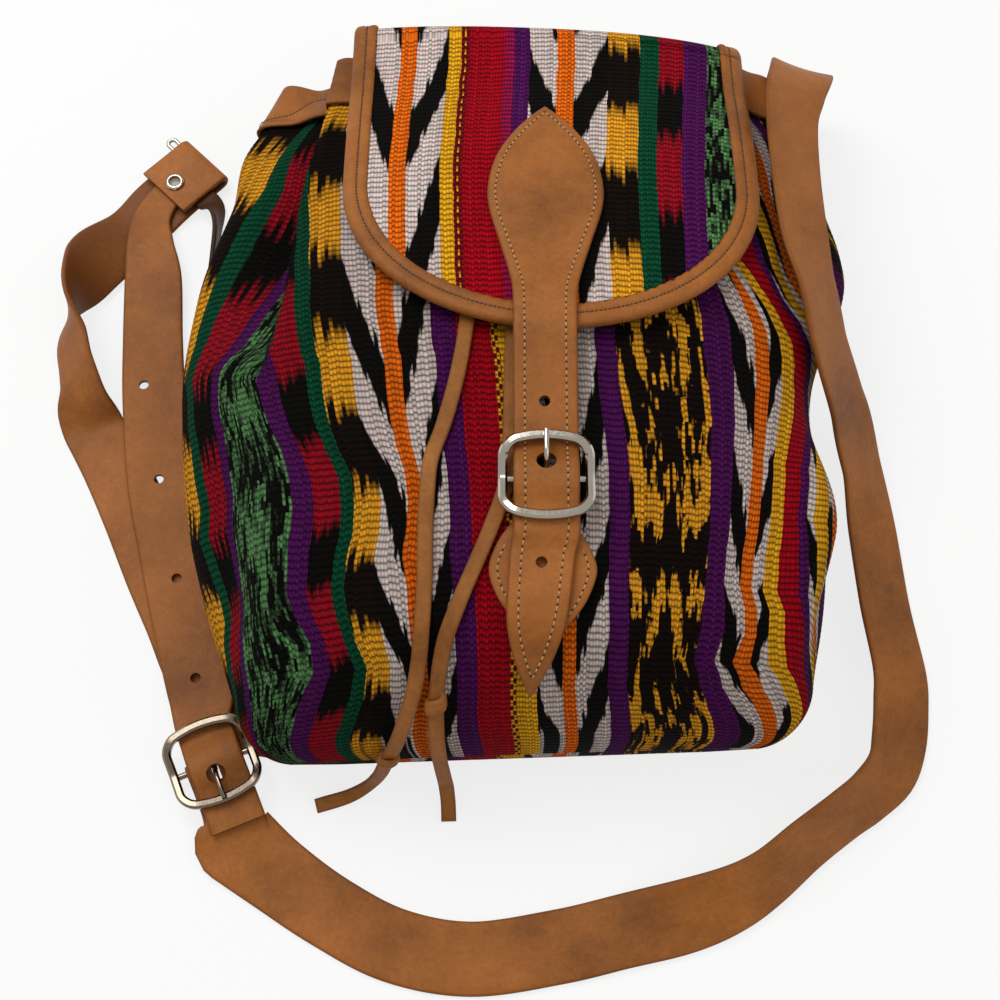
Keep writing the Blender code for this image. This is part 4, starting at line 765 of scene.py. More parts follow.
# %% [markdown]
# The bag's cloth is a grid over its section. The grid has four rows for each rib, so the ribs are
# real and show in the outline, while threads and fuzz are left to bump. The stripes wander where
# the cloth is pulled, so the pattern is shifted by a small table. It says in mm how far the edge of
# a stripe lies from where it belongs, at the heights where its course changes.

# %% Drift of the stripes
DRIFT_U = (-180.0, -127.4, -89.9, -67.4, -42.7, -22.0, 42.2, 73.6, 91.1, 105.2, 116.5, 160.0)
DRIFTS = np.array((
    # y, then the drift of the stripe edge that belongs at each place in DRIFT_U, in mm
    (-162, -22, -22, -36, -27, -12.5, -3, 12, 26, 37, 40, 44, 48),
    (-155, -12, -12, -21, -14, -7, -3, 5.5, 11.5, 19, 30.5, 34, 38),
    (-149, -5, -5, -12.5, -6.5, -4.4, -1.5, 2.1, 4.1, 7.2, 21, 25, 28),
    (-141, -4, -4, -3.4, -3, -4.2, -1, 1.8, -0.5, 0, 8.5, 20, 24),
    (-131.5, -6, -6, -2.1, -7.2, -4.4, -0.8, 1.4, 1, 4, 4.4, 16, 20),
    (-122, -3.5, -3.5, -6.6, -8.8, -4.1, -0.8, 0.8, 1.2, 2.5, 3.5, 9, 12),
    (-114, 2, 2, -8.1, -9.2, -3.8, -0.5, 0.2, 1.2, -1, -1.4, 5, 8),
    (-104, 2.8, 2.8, -5.3, -6.3, -4.5, -0.5, 0.3, 1.1, -1.3, -2, 3, 5),
    (-94, 1.5, 1.5, -2.8, -2.2, -2.3, -0.4, 0.2, 1, -1, -2, 1, 2),
    (-83, 1, 1, 0.6, 0.3, 0, 0, 0, 0.9, -0.3, -1, -1, 0),
    (-72, 5.6, 5.6, 0.6, 0.3, -0.3, 0, 0, 0.8, 0.5, -0.5, 1, 2),
    (-60, 6.8, 6.8, -1.1, -3.7, -2.5, -0.2, -0.4, 1.2, 2, 1.2, 4, 6),
    (-48, 8.3, 8.3, -5.5, -6.4, -3.4, 0.3, -1.5, 2.5, 4, 5, 10, 14),
    (-36, 8, 8, -8.5, -7.3, -3.8, 0.5, -2.2, 2, 5.3, 9, 20, 24),
    (-24, 9, 9, -11, -8.2, -4.4, 0, -2.8, 0.9, 6.5, 11.3, 22, 26),
    (-13, 9, 9, -14, -10.8, -6, -1.7, -3.5, -0.3, 6, 11, 20, 24),
    (-4, 9, 9, -17, -13.4, -8.8, -2.8, -3.7, -1.5, 3.8, 8, 14, 16),
    (5, 9, 9, -20, -15.5, -10.5, -4, -3.7, -3.9, -1, 0, 6, 8),
    (14, 9, 9, -23, -17.5, -12.2, -5, -3.5, -4.5, -6, -11, -6, -4),
    (25, 9, 9, -26, -21, -14.5, -6, -3, -6, -12, -20, -15, -12),
    (40, 9, 9, -29, -25, -17, -6.5, -3, -9, -16, -22, -20, -18),
    (60, 9, 9, -33, -31, -20, -7, -3, -16, -20, -24, -25, -25),
    (116, 9, 9, -36, -36, -22, -7, -3, -20, -24, -27, -28, -28)))


def pattern_across(arcs, y):
    # A stripe that belongs at one place of the flat cloth lies at that place plus its drift
    belongs = np.array((-400.0, *DRIFT_U, 600.0))
    drift = np.array([np.interp(y, DRIFTS[:, 0], column) for column in DRIFTS.T[1:]])
    return np.interp(arcs, belongs + np.concatenate([drift[:1], drift, drift[-1:]]), belongs)


print("cloth shown at the flap's left edge", np.round(pattern_across(np.array([-90.0]), 25.0), 1), "mm")

# %% Rows down the bag
def pleat_line(y):
    return np.interp(y, (-30.0, -12.0, 7.0, 40.0, 68.0, 99.0, 136.0),
                     (-97.0, -94.0, -92.0, -90.0, -87.0, -81.0, -76.0))


def pleat_depth(x, y):
    off = x - pleat_line(y)
    strength = ease((y + 26.0) / 62.0)
    beside = np.where(off < 0.0, np.exp(-(off / 17.0) ** 2), ease(1.0 - off / 2.6))
    return strength * (1.4 * np.exp(-((off - 6.0) / 5.0) ** 2) - 9.0 * beside)


def hidden_in_pleat(y):
    # The cloth that the pleat swallows, which grows towards the collar
    return np.interp(y, (-29.0, -17.0, -3.0, 13.0, 27.0, 40.0, 53.0, 100.0),
                     (9.0, 16.0, 21.5, 24.0, 27.0, 29.5, 32.0, 40.0))


LOW_ANGLE = 4.0
# Left of the mottled band, the cloth behind the pleat is pulled out to the side
SIDE_EDGE, SIDE_STRETCH = -127.4, 0.66
path_y = np.concatenate([BOTTOM_Y + BOTTOM_ROUND * (1 - np.cos(np.radians(np.linspace(LOW_ANGLE, 90, 200)))),
                         np.linspace(BOTTOM_Y + BOTTOM_ROUND, 116.0, 500)[1:]])
path_line = body_point(np.full(len(path_y), math.pi / 2), path_y)
path_v = run_along(path_line)
ZERO_V = float(np.interp(-22.0, path_y, path_v))
# The tie-dye was bound by hand, so its motifs are a little longer or shorter than the mean repeat
DYE_AT = (-160.0, -117.0, -69.0, -7.0, 68.0, 140.0)
DYE_SHOWN = (-168.0, -120.0, -62.0, -4.0, 54.0, 112.0)
print("cloth from the bottom seam to the collar", round(path_v[-1]), "mm")


def cloth_grid(name, from_turn, to_turn, columns, rows_per_rib, outward, material, flip=False, ribbed=True,
               stands_for=(), u_shift=0.0):
    rows = max(8, int(path_v[-1] / RIB * rows_per_rib)) + 1
    v = np.linspace(0.0, path_v[-1], rows)
    y = np.interp(v, path_v, path_y)
    arc_here = np.interp(np.radians((from_turn, to_turn)), TURNS, around)
    arcs = np.linspace(arc_here[0], arc_here[1], columns)
    turn = np.interp(-arcs, -around, TURNS)
    turn_grid, y_grid = np.meshgrid(turn, y)
    slope = 0.03 * ease((y_grid - 60.0) / 40.0)
    base = bag_surface(turn_grid, y_grid, 0.0, slope)
    fold = np.where(turn_grid > math.pi / 2, pleat_depth(base[..., 0], y_grid), 0.0)
    rib = 0.2 * (np.abs(np.sin(math.pi * (v - ZERO_V) / RIB)) ** 0.7 - 0.6) if ribbed else 0.0 * v
    lift = outward + fold + (rib * ease(v / 12.0))[:, None]
    points = bag_surface(turn_grid, y_grid, lift, slope)
    # Pressed flat where it lies on the floor
    points[..., 2] = np.maximum(points[..., 2], 0.2)
    drifted = np.array([pattern_across(arcs, level) for level in y])
    beyond_pleat = (turn_grid > math.pi / 2) & (base[..., 0] < pleat_line(y_grid) + 0.4) & (y_grid > -29.0)
    tucked = np.where(beyond_pleat, ease((y_grid + 29.0) / 18.0), 0.0)
    behind = arcs - hidden_in_pleat(y_grid)
    behind = np.where(behind < SIDE_EDGE, SIDE_EDGE + SIDE_STRETCH * (behind - SIDE_EDGE), behind)
    pattern_u = drifted + tucked * (behind - drifted)
    dye = np.interp(v - ZERO_V, DYE_AT, DYE_SHOWN)
    values = {"u": pattern_u + u_shift, "v": np.tile((v - ZERO_V)[:, None], (1, columns)),
              "dye": np.tile(dye[:, None], (1, columns))}
    return add_piece(name, points.reshape(-1, 3), grid_faces(rows, columns, flip=flip), material, "bag",
                     stands_for, values), points


front_cloth, front_points = cloth_grid("bag_front_weave", 195.0, -15.0, 204, 4, -0.3,
                                       bag_cotton, stands_for=["bag_cloth"], flip=True)
print("front cloth", len(front_cloth.data.polygons) * 2, "triangles")

# %% [markdown]
# The back and sides are turned away from the camera and need fewer rows. The reverse of the cloth
# shows at the mouth, and the tube is closed by a seam at the bottom.

# %% Back, bottom and inside of the bag
FULL_TURN = float(around[0] - around[-1])
back_cloth, back_points = cloth_grid("bag_back_weave", -15.0, -89.99, 60, 2, -0.3, bag_cotton, flip=True)
left_back, left_points = cloth_grid("bag_back_left_weave", 269.99, 195.0, 60, 2, -0.3, bag_cotton, flip=True,
                                    u_shift=FULL_TURN)
inner, _ = cloth_grid("bag_inside_weave", 269.99, -89.99, 200, 1, -1.7, bag_cotton, ribbed=False)


def close_bottom(rings):
    low_ring = np.vstack([ring_points[0] for ring_points in rings])
    count = len(low_ring)
    middle = low_ring.mean(axis=0)
    shrunk = [middle + (low_ring - middle) * share for share in (1.0, 0.6, 0.2)]
    points = np.vstack([*shrunk, middle[None]])
    faces = grid_faces(3, count, closed_across=True)
    faces += [(2 * count + i, 2 * count + (i + 1) % count, 3 * count) for i in range(count)]
    values = {"u": points[:, 0], "v": points[:, 2], "dye": points[:, 2]}
    return add_piece("bag_bottom_seam", points, faces, bag_cotton, "bag", (), values)


bottom = close_bottom([left_points, front_points, back_points])
print("faces", [len(piece.data.polygons) for piece in (back_cloth, left_back, inner, bottom)])

# %% [markdown]
# ## The flap
# The flap is one piece of the same cloth. It is sewn behind the collar, turns over the mouth and
# hangs down the front. Its two faces are joined at the edge, under the leather binding.

# %% Flap surface
FLAP_X, FLAP_HALF, FLAP_ROUND_Y, FLAP_ROUND_DEPTH = 15.6, 83.0, 55.0, 71.0
FLAP_LIFT, FLAP_TURN_DEPTH, FLAP_BACK_Z = 6.2, 13.0, 1.6
BINDING_LEATHER, BINDING_LAP, CLOTH = 1.3, 2.2, 1.6


def flap_surface(x, place, height):
    x, place, height = np.broadcast_arrays(*(np.asarray(a, dtype=float) for a in (x, place, height)))
    turn_y = 139.5 - 0.05 * x
    top = front_z(x, np.minimum(turn_y, 141.0)) + FLAP_LIFT
    y_front = np.minimum(place, turn_y)
    on_front = place < 1000.0
    angle = np.radians(np.clip(place - 1000.0, 0.0, 180.0))
    radius = (top - FLAP_BACK_Z) / 2.0
    y = np.where(on_front, y_front, turn_y + (FLAP_TURN_DEPTH + height) * np.sin(angle)
                 - np.maximum(0.0, place - 1180.0))
    z = np.where(on_front, front_z(x, y_front) + FLAP_LIFT + height,
                 FLAP_BACK_Z + radius + (radius + height) * np.cos(angle))
    return np.stack([x, y, z], axis=-1)


def flap_places(step, back_step):
    front = np.arange(FLAP_ROUND_Y - (FLAP_ROUND_DEPTH - 2.9) + 0.3, 139.0, step)
    return np.concatenate([front, 1000.0 + np.arange(0.0, 180.0, back_step), [1180.0, 1187.0, 1194.0]])


def flap_half(place, inset):
    depth, half = FLAP_ROUND_DEPTH - inset, FLAP_HALF - inset
    low = np.clip((FLAP_ROUND_Y - place) / depth, 0.0, 1.0)
    return half * np.sqrt(1.0 - low ** 2)


print("flap width", 2 * FLAP_HALF, "mm")

# %% Flap cloth
FLAP_STRIPES = (
    # where it starts in mm, ground yarn, second yarn, mix, middle of the motif
    *chevrons(-70.0, -48.3, -41.2, -44.7), (-28.3, "yellow"), (-22.9, "dark_red"),
    (-21.6, "dark_red", "yellow", "dashes", 0), (-20.3, "dark_red"), (-19.1, "crimson"),
    (-4.6, "magenta"), (-0.4, "purple"), *chevrons(6.2, 17.9, 25.4, 21.6),
    (39.2, "brown", "ikat_yellow", "blocks", 26), (52.5, "green"),
    (60.8, "ikat_red", "black", "blocks", 5), (71.7, "purple"), (81.2, "black", "mottle", "mottle", 0))
# The last number, 0.88, darkens the flap's cloth a little less: painted shade
flap_cotton = warp_faced_cotton("warp_faced_cotton_flap", FLAP_STRIPES, -70.0, 102.0, 77.0, -2.0, 0.88)


def flap_cloth():
    places = flap_places(RIB / (4), 2.0)
    columns = 112
    half = np.where(places < 1000.0, flap_half(places, BINDING_LAP + 0.7), FLAP_HALF - BINDING_LAP - 0.7)
    x = FLAP_X + half[:, None] * np.linspace(-1.0, 1.0, columns)
    grid = np.tile(places[:, None], (1, columns))
    middle_line = flap_surface(np.full(len(places), FLAP_X), places, 0.0)
    v = run_along(middle_line)
    rib = 0.18 * (np.abs(np.sin(math.pi * v / RIB)) ** 0.7 - 0.6) * (places < 1000.0)
    sag = -0.5 * np.cos(x / 17.0 + grid / 60.0) * (grid < 1000.0)
    upper = flap_surface(x, grid, CLOTH / 2.0 + rib[:, None] + sag)
    lower = flap_surface(x, grid, -CLOTH / 2.0 + sag)
    rows = len(places)
    count = rows * columns
    faces = grid_faces(rows, columns)
    faces += [[a + count for a in face[::-1]] for face in faces]
    rim = [*range(columns), *range(2 * columns - 1, count, columns),
           *range(count - 2, count - columns - 1, -1), *range(count - 2 * columns, 0, -columns)]
    faces += [(b, a, a + count, b + count) for a, b in zip(rim, rim[1:] + rim[:1])]
    points = np.vstack([upper.reshape(-1, 3), lower.reshape(-1, 3)])
    wave = 1.2 * np.sin((v - 30.0) / 26.0)[:, None]
    spread = 0.13 * np.maximum(0.0, x - 15.0) * np.clip(1.0 - v / 150.0, 0.0, 1.0)[:, None]
    values = {"u": np.tile((x + wave + spread).ravel(), 2), "v": np.tile(np.repeat(v, columns), 2),
              "dye": np.tile(np.repeat(v, columns), 2)}
    made = add_piece("flap_weave", points, faces, flap_cotton, "bag", ["flap_cloth"], values)
    return made


flap_cloth()

# %% [markdown]
# ## Leather round the edges
# The binding is one strip, folded over the flap's edge and stitched through. Stitching pulls a groove
# into it, and inside the groove the leather puckers. The collar is a plain band, sewn on
# flat, and it follows the gathers of the cloth.

# %% Flap binding
def flap_edge(steps_per_mm=0.45):
    front = [("left", 1000.0 + a) for a in np.arange(110.0, 0.0, -3.0)]
    front += [("left", y) for y in np.arange(139.0, FLAP_ROUND_Y + 1.0, -1.0 / steps_per_mm)]
    count = int(math.pi * 77.0 * steps_per_mm)
    front += [("round", -90.0 + 180.0 * i / count) for i in range(count + 1)]
    front += [("right", y) for y in np.arange(FLAP_ROUND_Y + 1.0 / steps_per_mm, 139.0, 1.0 / steps_per_mm)]
    return front + [("right", 1000.0 + a) for a in np.arange(0.0, 111.0, 3.0)]


def edge_point(step, inset):
    half, depth = FLAP_HALF - inset, FLAP_ROUND_DEPTH - inset
    kind, amount = step
    if kind == "round":
        angle = math.radians(amount)
        return FLAP_X + half * math.sin(angle), FLAP_ROUND_Y - depth * math.cos(angle)
    return FLAP_X + (-half if kind == "left" else half), amount


EDGE = flap_edge()
GROOVE = 5.6


def flap_binding():
    slot_half = CLOTH / 2.0 + 1.5 * GAP
    outer = slot_half + BINDING_LEATHER
    inside = (9.9, 9.0, 8.0, 7.0, 6.3, 5.6, 4.9, 4.0, 3.0, 2.0, 1.2, 0.55, 0.12, 0.0)
    fall = (0.9, 0.25, 0.0, 0.0, 0.0, 0.0, 0.0, 0.0, 0.0, 0.1, 0.35, 0.95, 1.7, outer)
    along = np.arange(len(EDGE)) / 0.45
    rings = []
    profile = [(i, outer - f, 1.0) for i, f in zip(inside, fall)]
    profile += [(i, f - outer, -1.0) for i, f in list(zip(inside, fall))[-2::-1]]
    profile += [(10.0, -slot_half, -0.6), (BINDING_LAP, -slot_half, -0.9), (BINDING_LAP, slot_half, -0.9),
                (10.0, slot_half, -0.6)]
    for number, step in enumerate(EDGE):
        ring = []
        pucker = 0.42 * math.sin(along[number] * 2.0 * math.pi / 4.4) + 0.2 * math.sin(along[number] * 0.61)
        for inset, height, side in profile:
            if side > 0.0:
                height -= 0.7 * math.exp(-((inset - GROOVE) / 0.75) ** 2)
                height += pucker * float(ease((inset - 6.0) / 2.5)) - 0.25 * float(ease((inset - 6.0) / 2.0))
            x, place = edge_point(step, inset)
            ring.append((x, place, height))
        rings.append(ring)
    rings = np.array(rings)
    points = flap_surface(rings[..., 0], rings[..., 1], rings[..., 2])
    rows, columns = rings.shape[:2]
    faces = grid_faces(rows, columns, closed_across=True, flip=True)
    faces += [list(range(columns)), list(range((rows - 1) * columns, rows * columns))[::-1]]
    inset = np.array([min(p[0] + 1.2, 10.2 - p[0]) for p in profile])
    values = {"inset": np.tile(inset, (rows, 1)), "facing": np.tile([p[2] for p in profile], (rows, 1))}
    return add_piece("flap_binding_leather", points.reshape(-1, 3), faces, strap_leather, "bag",
                     ["flap_binding"], values)


binding = flap_binding()
print("binding", len(binding.data.polygons), "faces")

# %% Collar
def collar():
    turns = np.radians(np.linspace(-90.0, 270.0, 721)[:-1])
    low, top, thick, base = 110.0, 136.0, 2.0, 1.3 * GAP
    profile = [(low + 0.5, 0.0), (low, 0.5), (low, 1.5), (low + 0.5, 2.0)]
    profile += [(y, 2.0) for y in np.linspace(low + 2.0, top - 1.0, 11)]
    profile += [(top - 0.3, 1.7), (top, 1.0), (top - 0.3, 0.3)]
    profile += [(y, 0.0) for y in np.linspace(top - 1.5, low + 2.0, 9)]
    rings = []
    for y, out in profile:
        stitch_groove = 0.35 * math.exp(-((y - low - 3.4) / 0.7) ** 2) * (out > 1.4)
        level = np.full(len(turns), y)
        ring_points = bag_surface(turns, level, 0.0, 0.03)
        fold = np.where(np.sin(turns) > 0.0, 0.8 * pleat_depth(ring_points[:, 0], level), 0.0)
        ring_points = bag_surface(turns, level, base + min(out, thick) - stitch_groove + fold, 0.03)
        ring_points[:, 1] += 0.9 * fold * float(ease((y - low) / (top - low)))
        rings.append(ring_points)
    points = np.array(rings)
    rows, columns = points.shape[:2]
    faces = grid_faces(rows, columns, closed_across=True, closed_along=True)
    inset = np.array([min(abs(y - low), abs(top - y)) for y, _ in profile])
    side = np.array([1.0 if out >= 1.9 else -1.0 if out <= 0.1 else 0.0 for _, out in profile])
    values = {"inset": np.repeat(inset, columns), "facing": np.repeat(side, columns)}
    made = add_piece("collar_leather", points.reshape(-1, 3), faces, strap_leather, "bag",
                     ["leather_collar"], values)
    return face_outwards(made)


collar()


def seam_strip(name, degrees, node):
    y = 136.0 - 62.0 * np.linspace(0.0, 1.0, 40)
    lift = (2.0 + 2.5 * GAP) * ease((y - 110.0 + 9.0) / 7.0)
    turn = np.full(len(y), math.radians(degrees))
    level = y + 0.03 * np.minimum(0.0, body_point(turn, y)[:, 0])
    middle = body_point(turn, level, 0.2 + lift + 1.0)
    beside = unit(body_point(turn + 0.05, level, 0.2 + lift) - body_point(turn - 0.05, level, 0.2 + lift))
    frames = np.column_stack([middle, beside, np.full(len(y), 7.0), np.full(len(y), 2.0)])
    return leather_band(name, frames, strap_leather, "bag", [node], tops=5)


for side_name, degrees in (("left", 195.0), ("right", -15.0)):
    strip = seam_strip(f"{side_name}_seam_leather", degrees, f"{side_name}_seam_strip")
    print(strip.name, len(strip.data.polygons), "faces")

# %% [markdown]
# ## Buckles
# Two nickel-plated centre-bar buckles join the straps. A buckle is a bowed frame with flat bevelled
# rails and a bar across its middle, and a wire prong is bent round the bar. Each prong is a piece
# of its own, because it turns.

# %% Buckle measures
BUCKLE_WIDTH, BUCKLE_SIDE, BUCKLE_BOW, BUCKLE_CORNER, BUCKLE_RAIL = 35.0, 25.0, 3.2, 5.0, 3.4
BUCKLE_BAR, BAR_DROP, PRONG_WIRE, BUCKLE_BASE, SKIVED = 2.6, 4.8, 2.0, 0.9, 1.4
STRAP_BUCKLE, FRONT_BUCKLE, STRAP_BUCKLE_LIFT = (-117.6, -159.2, 22.6), (11.8, -76.5, 0.0), 1.85
FRONT_BASE = float(front_z(FRONT_BUCKLE[0], FRONT_BUCKLE[1]))
BAR_HEIGHT = BUCKLE_BASE + SKIVED + GAP + BUCKLE_BAR / 2.0


def buckle_points(buckle, base, rows):
    turn = math.radians(buckle[2])
    side = np.array((math.cos(turn), math.sin(turn), 0.0))
    forward = np.array((-side[1], side[0], 0.0))
    rows = np.asarray(rows, dtype=float)
    return (np.array((buckle[0], buckle[1], base)) + rows[:, :1] * side + rows[:, 1:2] * forward
            + rows[:, 2:3] * np.array((0.0, 0.0, 1.0)))


def buckle_band(buckle, base, rows, offset=0.0, sign=1.0):
    turn = math.radians(buckle[2])
    places = buckle_points(buckle, base, [(offset, along, height) for along, height, _, _ in rows])
    lateral = np.tile(sign * np.array((math.cos(turn), math.sin(turn), 0.0)), (len(rows), 1))
    return np.column_stack([places, lateral, [row[2] for row in rows], [row[3] for row in rows]])


def loop_rows(width):
    radius = BUCKLE_BAR / 2.0 + GAP + SKIVED / 2.0
    low = BUCKLE_BASE + SKIVED / 2.0
    rows = [(-13.0, low + SKIVED + GAP, width, SKIVED), (-8.0, low + SKIVED + 1.4 * GAP, width, SKIVED),
            (-4.0, BAR_HEIGHT + 0.55 * radius, width, SKIVED)]
    rows += [(radius * math.cos(a), BAR_HEIGHT + radius * math.sin(a), width, SKIVED)
             for a in np.radians((90, 60, 30, 0, -30, -60, -90))]
    return rows + [(-5.0, low, width, SKIVED), (-11.5, low, width, SKIVED)]


def threaded_rows(width, start, end):
    wave = ((14.0, 1.1), (11.5, 1.25), (9.0, 2.2), (6.0, 3.8), (3.0, 5.0), (0.0, 5.3), (-3.0, 5.0),
            (-6.0, 3.9), (-9.0, 2.5), (-11.5, 1.65), (-14.0, 1.6))
    return [(along, BAR_HEIGHT + rise, width, 2.2) for along, rise in (*start, *wave, *end)]


print("bar", round(BAR_HEIGHT, 2), "mm over what the buckle lies on")

# %% [markdown]
# Nickel plate is a thin bright layer over steel or brass. It is a little warmer and softer than
# chrome, and handling leaves hairlines, so its roughness varies.

# %% Nickel and wire
def nickel_plate(name, colour, smoothest, roughest):
    material, tree, shader = new_material(name, Metallic=1.0)
    shader.inputs["Base Color"].default_value = linear(colour)
    place = add_node(tree, "TexCoord").outputs["Object"]
    hairlines = add_node(tree, "TexNoise", {"Scale": 900.0, "Detail": 6.0}, {"Vector": place}).outputs[0]
    rough = add_node(tree, "MapRange", {1: 0.3, 2: 0.75, 3: smoothest, 4: roughest}, {0: hairlines})
    tree.links.new(rough.outputs[0], shader.inputs["Roughness"])
    bump = add_node(tree, "Bump", {"Strength": 0.02, "Distance": 0.0001}, {"Height": hairlines})
    tree.links.new(bump.outputs[0], shader.inputs["Normal"])
    return material


nickel = nickel_plate("polished_nickel_plate", "#C4BCAE", 0.07, 0.16)
# The strap buckle's plate is given a darker, browner base: painted dark reflections
strap_buckle_dimmed_nickel = nickel_plate("tarnished_nickel_plate", "#86796A", 0.12, 0.26)


def metal_sweep(name, line, section_points, body, stands_for, closed=False, up=(0.0, 0.0, 1.0), metal=nickel):
    line = np.asarray(line, dtype=float)
    if closed:
        tangent = np.roll(line, -1, axis=0) - np.roll(line, 1, axis=0)
    else:
        tangent = np.gradient(line, axis=0)
    tangent = unit(tangent)
    across = unit(np.cross(tangent, np.asarray(up, dtype=float)))
    rise = np.cross(across, tangent)
    shape = np.asarray(section_points)
    points = line[:, None] + across[:, None] * shape[None, :, :1] + rise[:, None] * shape[None, :, 1:]
    rows, columns = points.shape[:2]
    faces = grid_faces(rows, columns, closed_across=True, closed_along=closed)
    if not closed:
        faces += [list(range(columns)), list(range((rows - 1) * columns, rows * columns))]
    made = add_piece(name, points.reshape(-1, 3), faces, metal, body, stands_for)
    return face_outwards(made, 35.0)


def round_section(diameter, sides=14):
    angle = np.linspace(0.0, 2.0 * math.pi, sides, endpoint=False)
    return np.stack([np.cos(angle), np.sin(angle)], 1) * diameter / 2.0


print("round wire section of", len(round_section(2.0)), "points")

# %% Make both buckles
def make_buckle(name, buckle, base, prong_way, prong_body, metal):
    half_width, half_side = BUCKLE_WIDTH / 2.0 - BUCKLE_RAIL / 2.0, BUCKLE_SIDE / 2.0
    outline = []
    for corner_x, corner_y, start in ((1, 1, 0), (-1, 1, 90), (-1, -1, 180), (1, -1, 270)):
        for a in np.radians(start + np.arange(0.0, 91.0, 11.25)):
            outline.append((corner_x * (half_width - BUCKLE_CORNER) + BUCKLE_CORNER * math.cos(a),
                            corner_y * (half_side - BUCKLE_CORNER) + BUCKLE_CORNER * math.sin(a)))
        if corner_y == corner_x:
            outline += [(corner_x * share * (half_width - BUCKLE_CORNER), corner_y * half_side)
                        for share in np.linspace(0.88, -0.88, 13)]
        else:
            outline += [(corner_x * half_width, corner_y * share * half_side)
                        for share in np.linspace(0.5, -0.5, 7)]
    rows = []
    for x, y in outline:
        bow = BUCKLE_BOW * (1.0 - (x / half_width) ** 2) * (y / half_side)
        rows.append((x, y + bow, BAR_HEIGHT + 2.0 + (BAR_DROP - 2.0) * min(1.0, abs(y) / half_side) ** 1.5))
    half, bevel, tall = 1.72, 0.85, 1.62
    rail = [(half, -tall + bevel), (half, tall - bevel), (half - bevel, tall), (bevel - half, tall),
            (-half, tall - bevel), (-half, bevel - tall), (bevel - half, -tall), (half - bevel, -tall)]
    frame_piece = metal_sweep(f"{name}_buckle_rails", buckle_points(buckle, base, rows), rail, "bag",
                              [f"{name}_buckle_frame"], closed=True, metal=metal)
    bar_rows = [(x, 0.0, BAR_HEIGHT) for x in np.linspace(-half_width, half_width, 9)]
    metal_sweep(f"{name}_buckle_bar", buckle_points(buckle, base, bar_rows), round_section(BUCKLE_BAR),
                "bag", (), metal=metal)
    radius = BUCKLE_BAR / 2.0 + GAP + PRONG_WIRE / 2.0
    path = [(radius * math.cos(a), radius * math.sin(a))
            for a in np.radians((-50, -90, -130, -170, -210, -245, -270))]
    rail_top = BAR_DROP + BUCKLE_RAIL / 2.0 + GAP + PRONG_WIRE / 2.0
    path += [(2.2, radius), (3.9, radius + 0.8), (5.1, radius + 2.4), (6.1, radius + 3.9),
             (7.4, rail_top - 0.4), (9.5, rail_top), (half_side + BUCKLE_BOW - 1.0, rail_top),
             (half_side + BUCKLE_BOW + 0.7, rail_top - 0.2)]
    wire = even_rows([(0.0, prong_way * along, BAR_HEIGHT + rise) for along, rise in path], 0.7)
    turn = math.radians(buckle[2])
    metal_sweep(f"{name}_prong_wire", buckle_points(buckle, base, wire), round_section(PRONG_WIRE, 12),
                prong_body, [f"{name}_buckle_prong"], up=(math.cos(turn), math.sin(turn), 0.0), metal=metal)
    return frame_piece


make_buckle("front", FRONT_BUCKLE, FRONT_BASE, 1.0, "front_prong", nickel)
# The strap buckle gets the darker plate, whose colour is painted dark reflection
make_buckle("strap", STRAP_BUCKLE, STRAP_BUCKLE_LIFT, -1.0, "strap_prong", strap_buckle_dimmed_nickel)
print("buckles at", FRONT_BUCKLE[:2], STRAP_BUCKLE[:2])

# %% [markdown]
# ## The closure
# The closure strap starts in a leaf that is sewn to the flap. It crosses the flap's edge, goes through
# the buckle and ends in a point. The buckle hangs on a small leaf of thinner leather, sewn
# to the bag, that loops round the bar. Holes are cut through both with a Boolean.

# %% Holes
def punch(strap, tools):
    for number, (middle, diameter, shape) in enumerate(tools):
        bm = bmesh.new()
        if shape == "round":
            bmesh.ops.create_cone(bm, cap_ends=True, segments=28, radius1=diameter / 2.0 * MM,
                                  radius2=diameter / 2.0 * MM, depth=0.018)
        else:
            bmesh.ops.create_cube(bm, size=1.0)
            bmesh.ops.scale(bm, vec=Vector((PRONG_WIRE + 1.0, 12.0, 12.0)) * MM, verts=bm.verts)
            bmesh.ops.rotate(bm, matrix=Matrix.Rotation(math.radians(diameter), 3, "Z"), verts=bm.verts)
        bmesh.ops.translate(bm, vec=Vector(middle) * MM, verts=bm.verts)
        mesh = bpy.data.meshes.new(f"{strap.name}_punch_{number}")
        bm.to_mesh(mesh)
        bm.free()
        tool = bpy.data.objects.new(mesh.name, mesh)
        bpy.context.collection.objects.link(tool)
        modifier = strap.modifiers.new(mesh.name, "BOOLEAN")
        modifier.operation, modifier.object, modifier.solver = "DIFFERENCE", tool, "EXACT"
        graph = bpy.context.evaluated_depsgraph_get()
        cut = bpy.data.meshes.new_from_object(strap.evaluated_get(graph))
        strap.modifiers.clear()
        strap.data = cut
        bpy.data.objects.remove(tool)
    strap.data.set_sharp_from_angle(angle=math.radians(50.0))
    return strap


print("holes are cut with 28-sided punches")

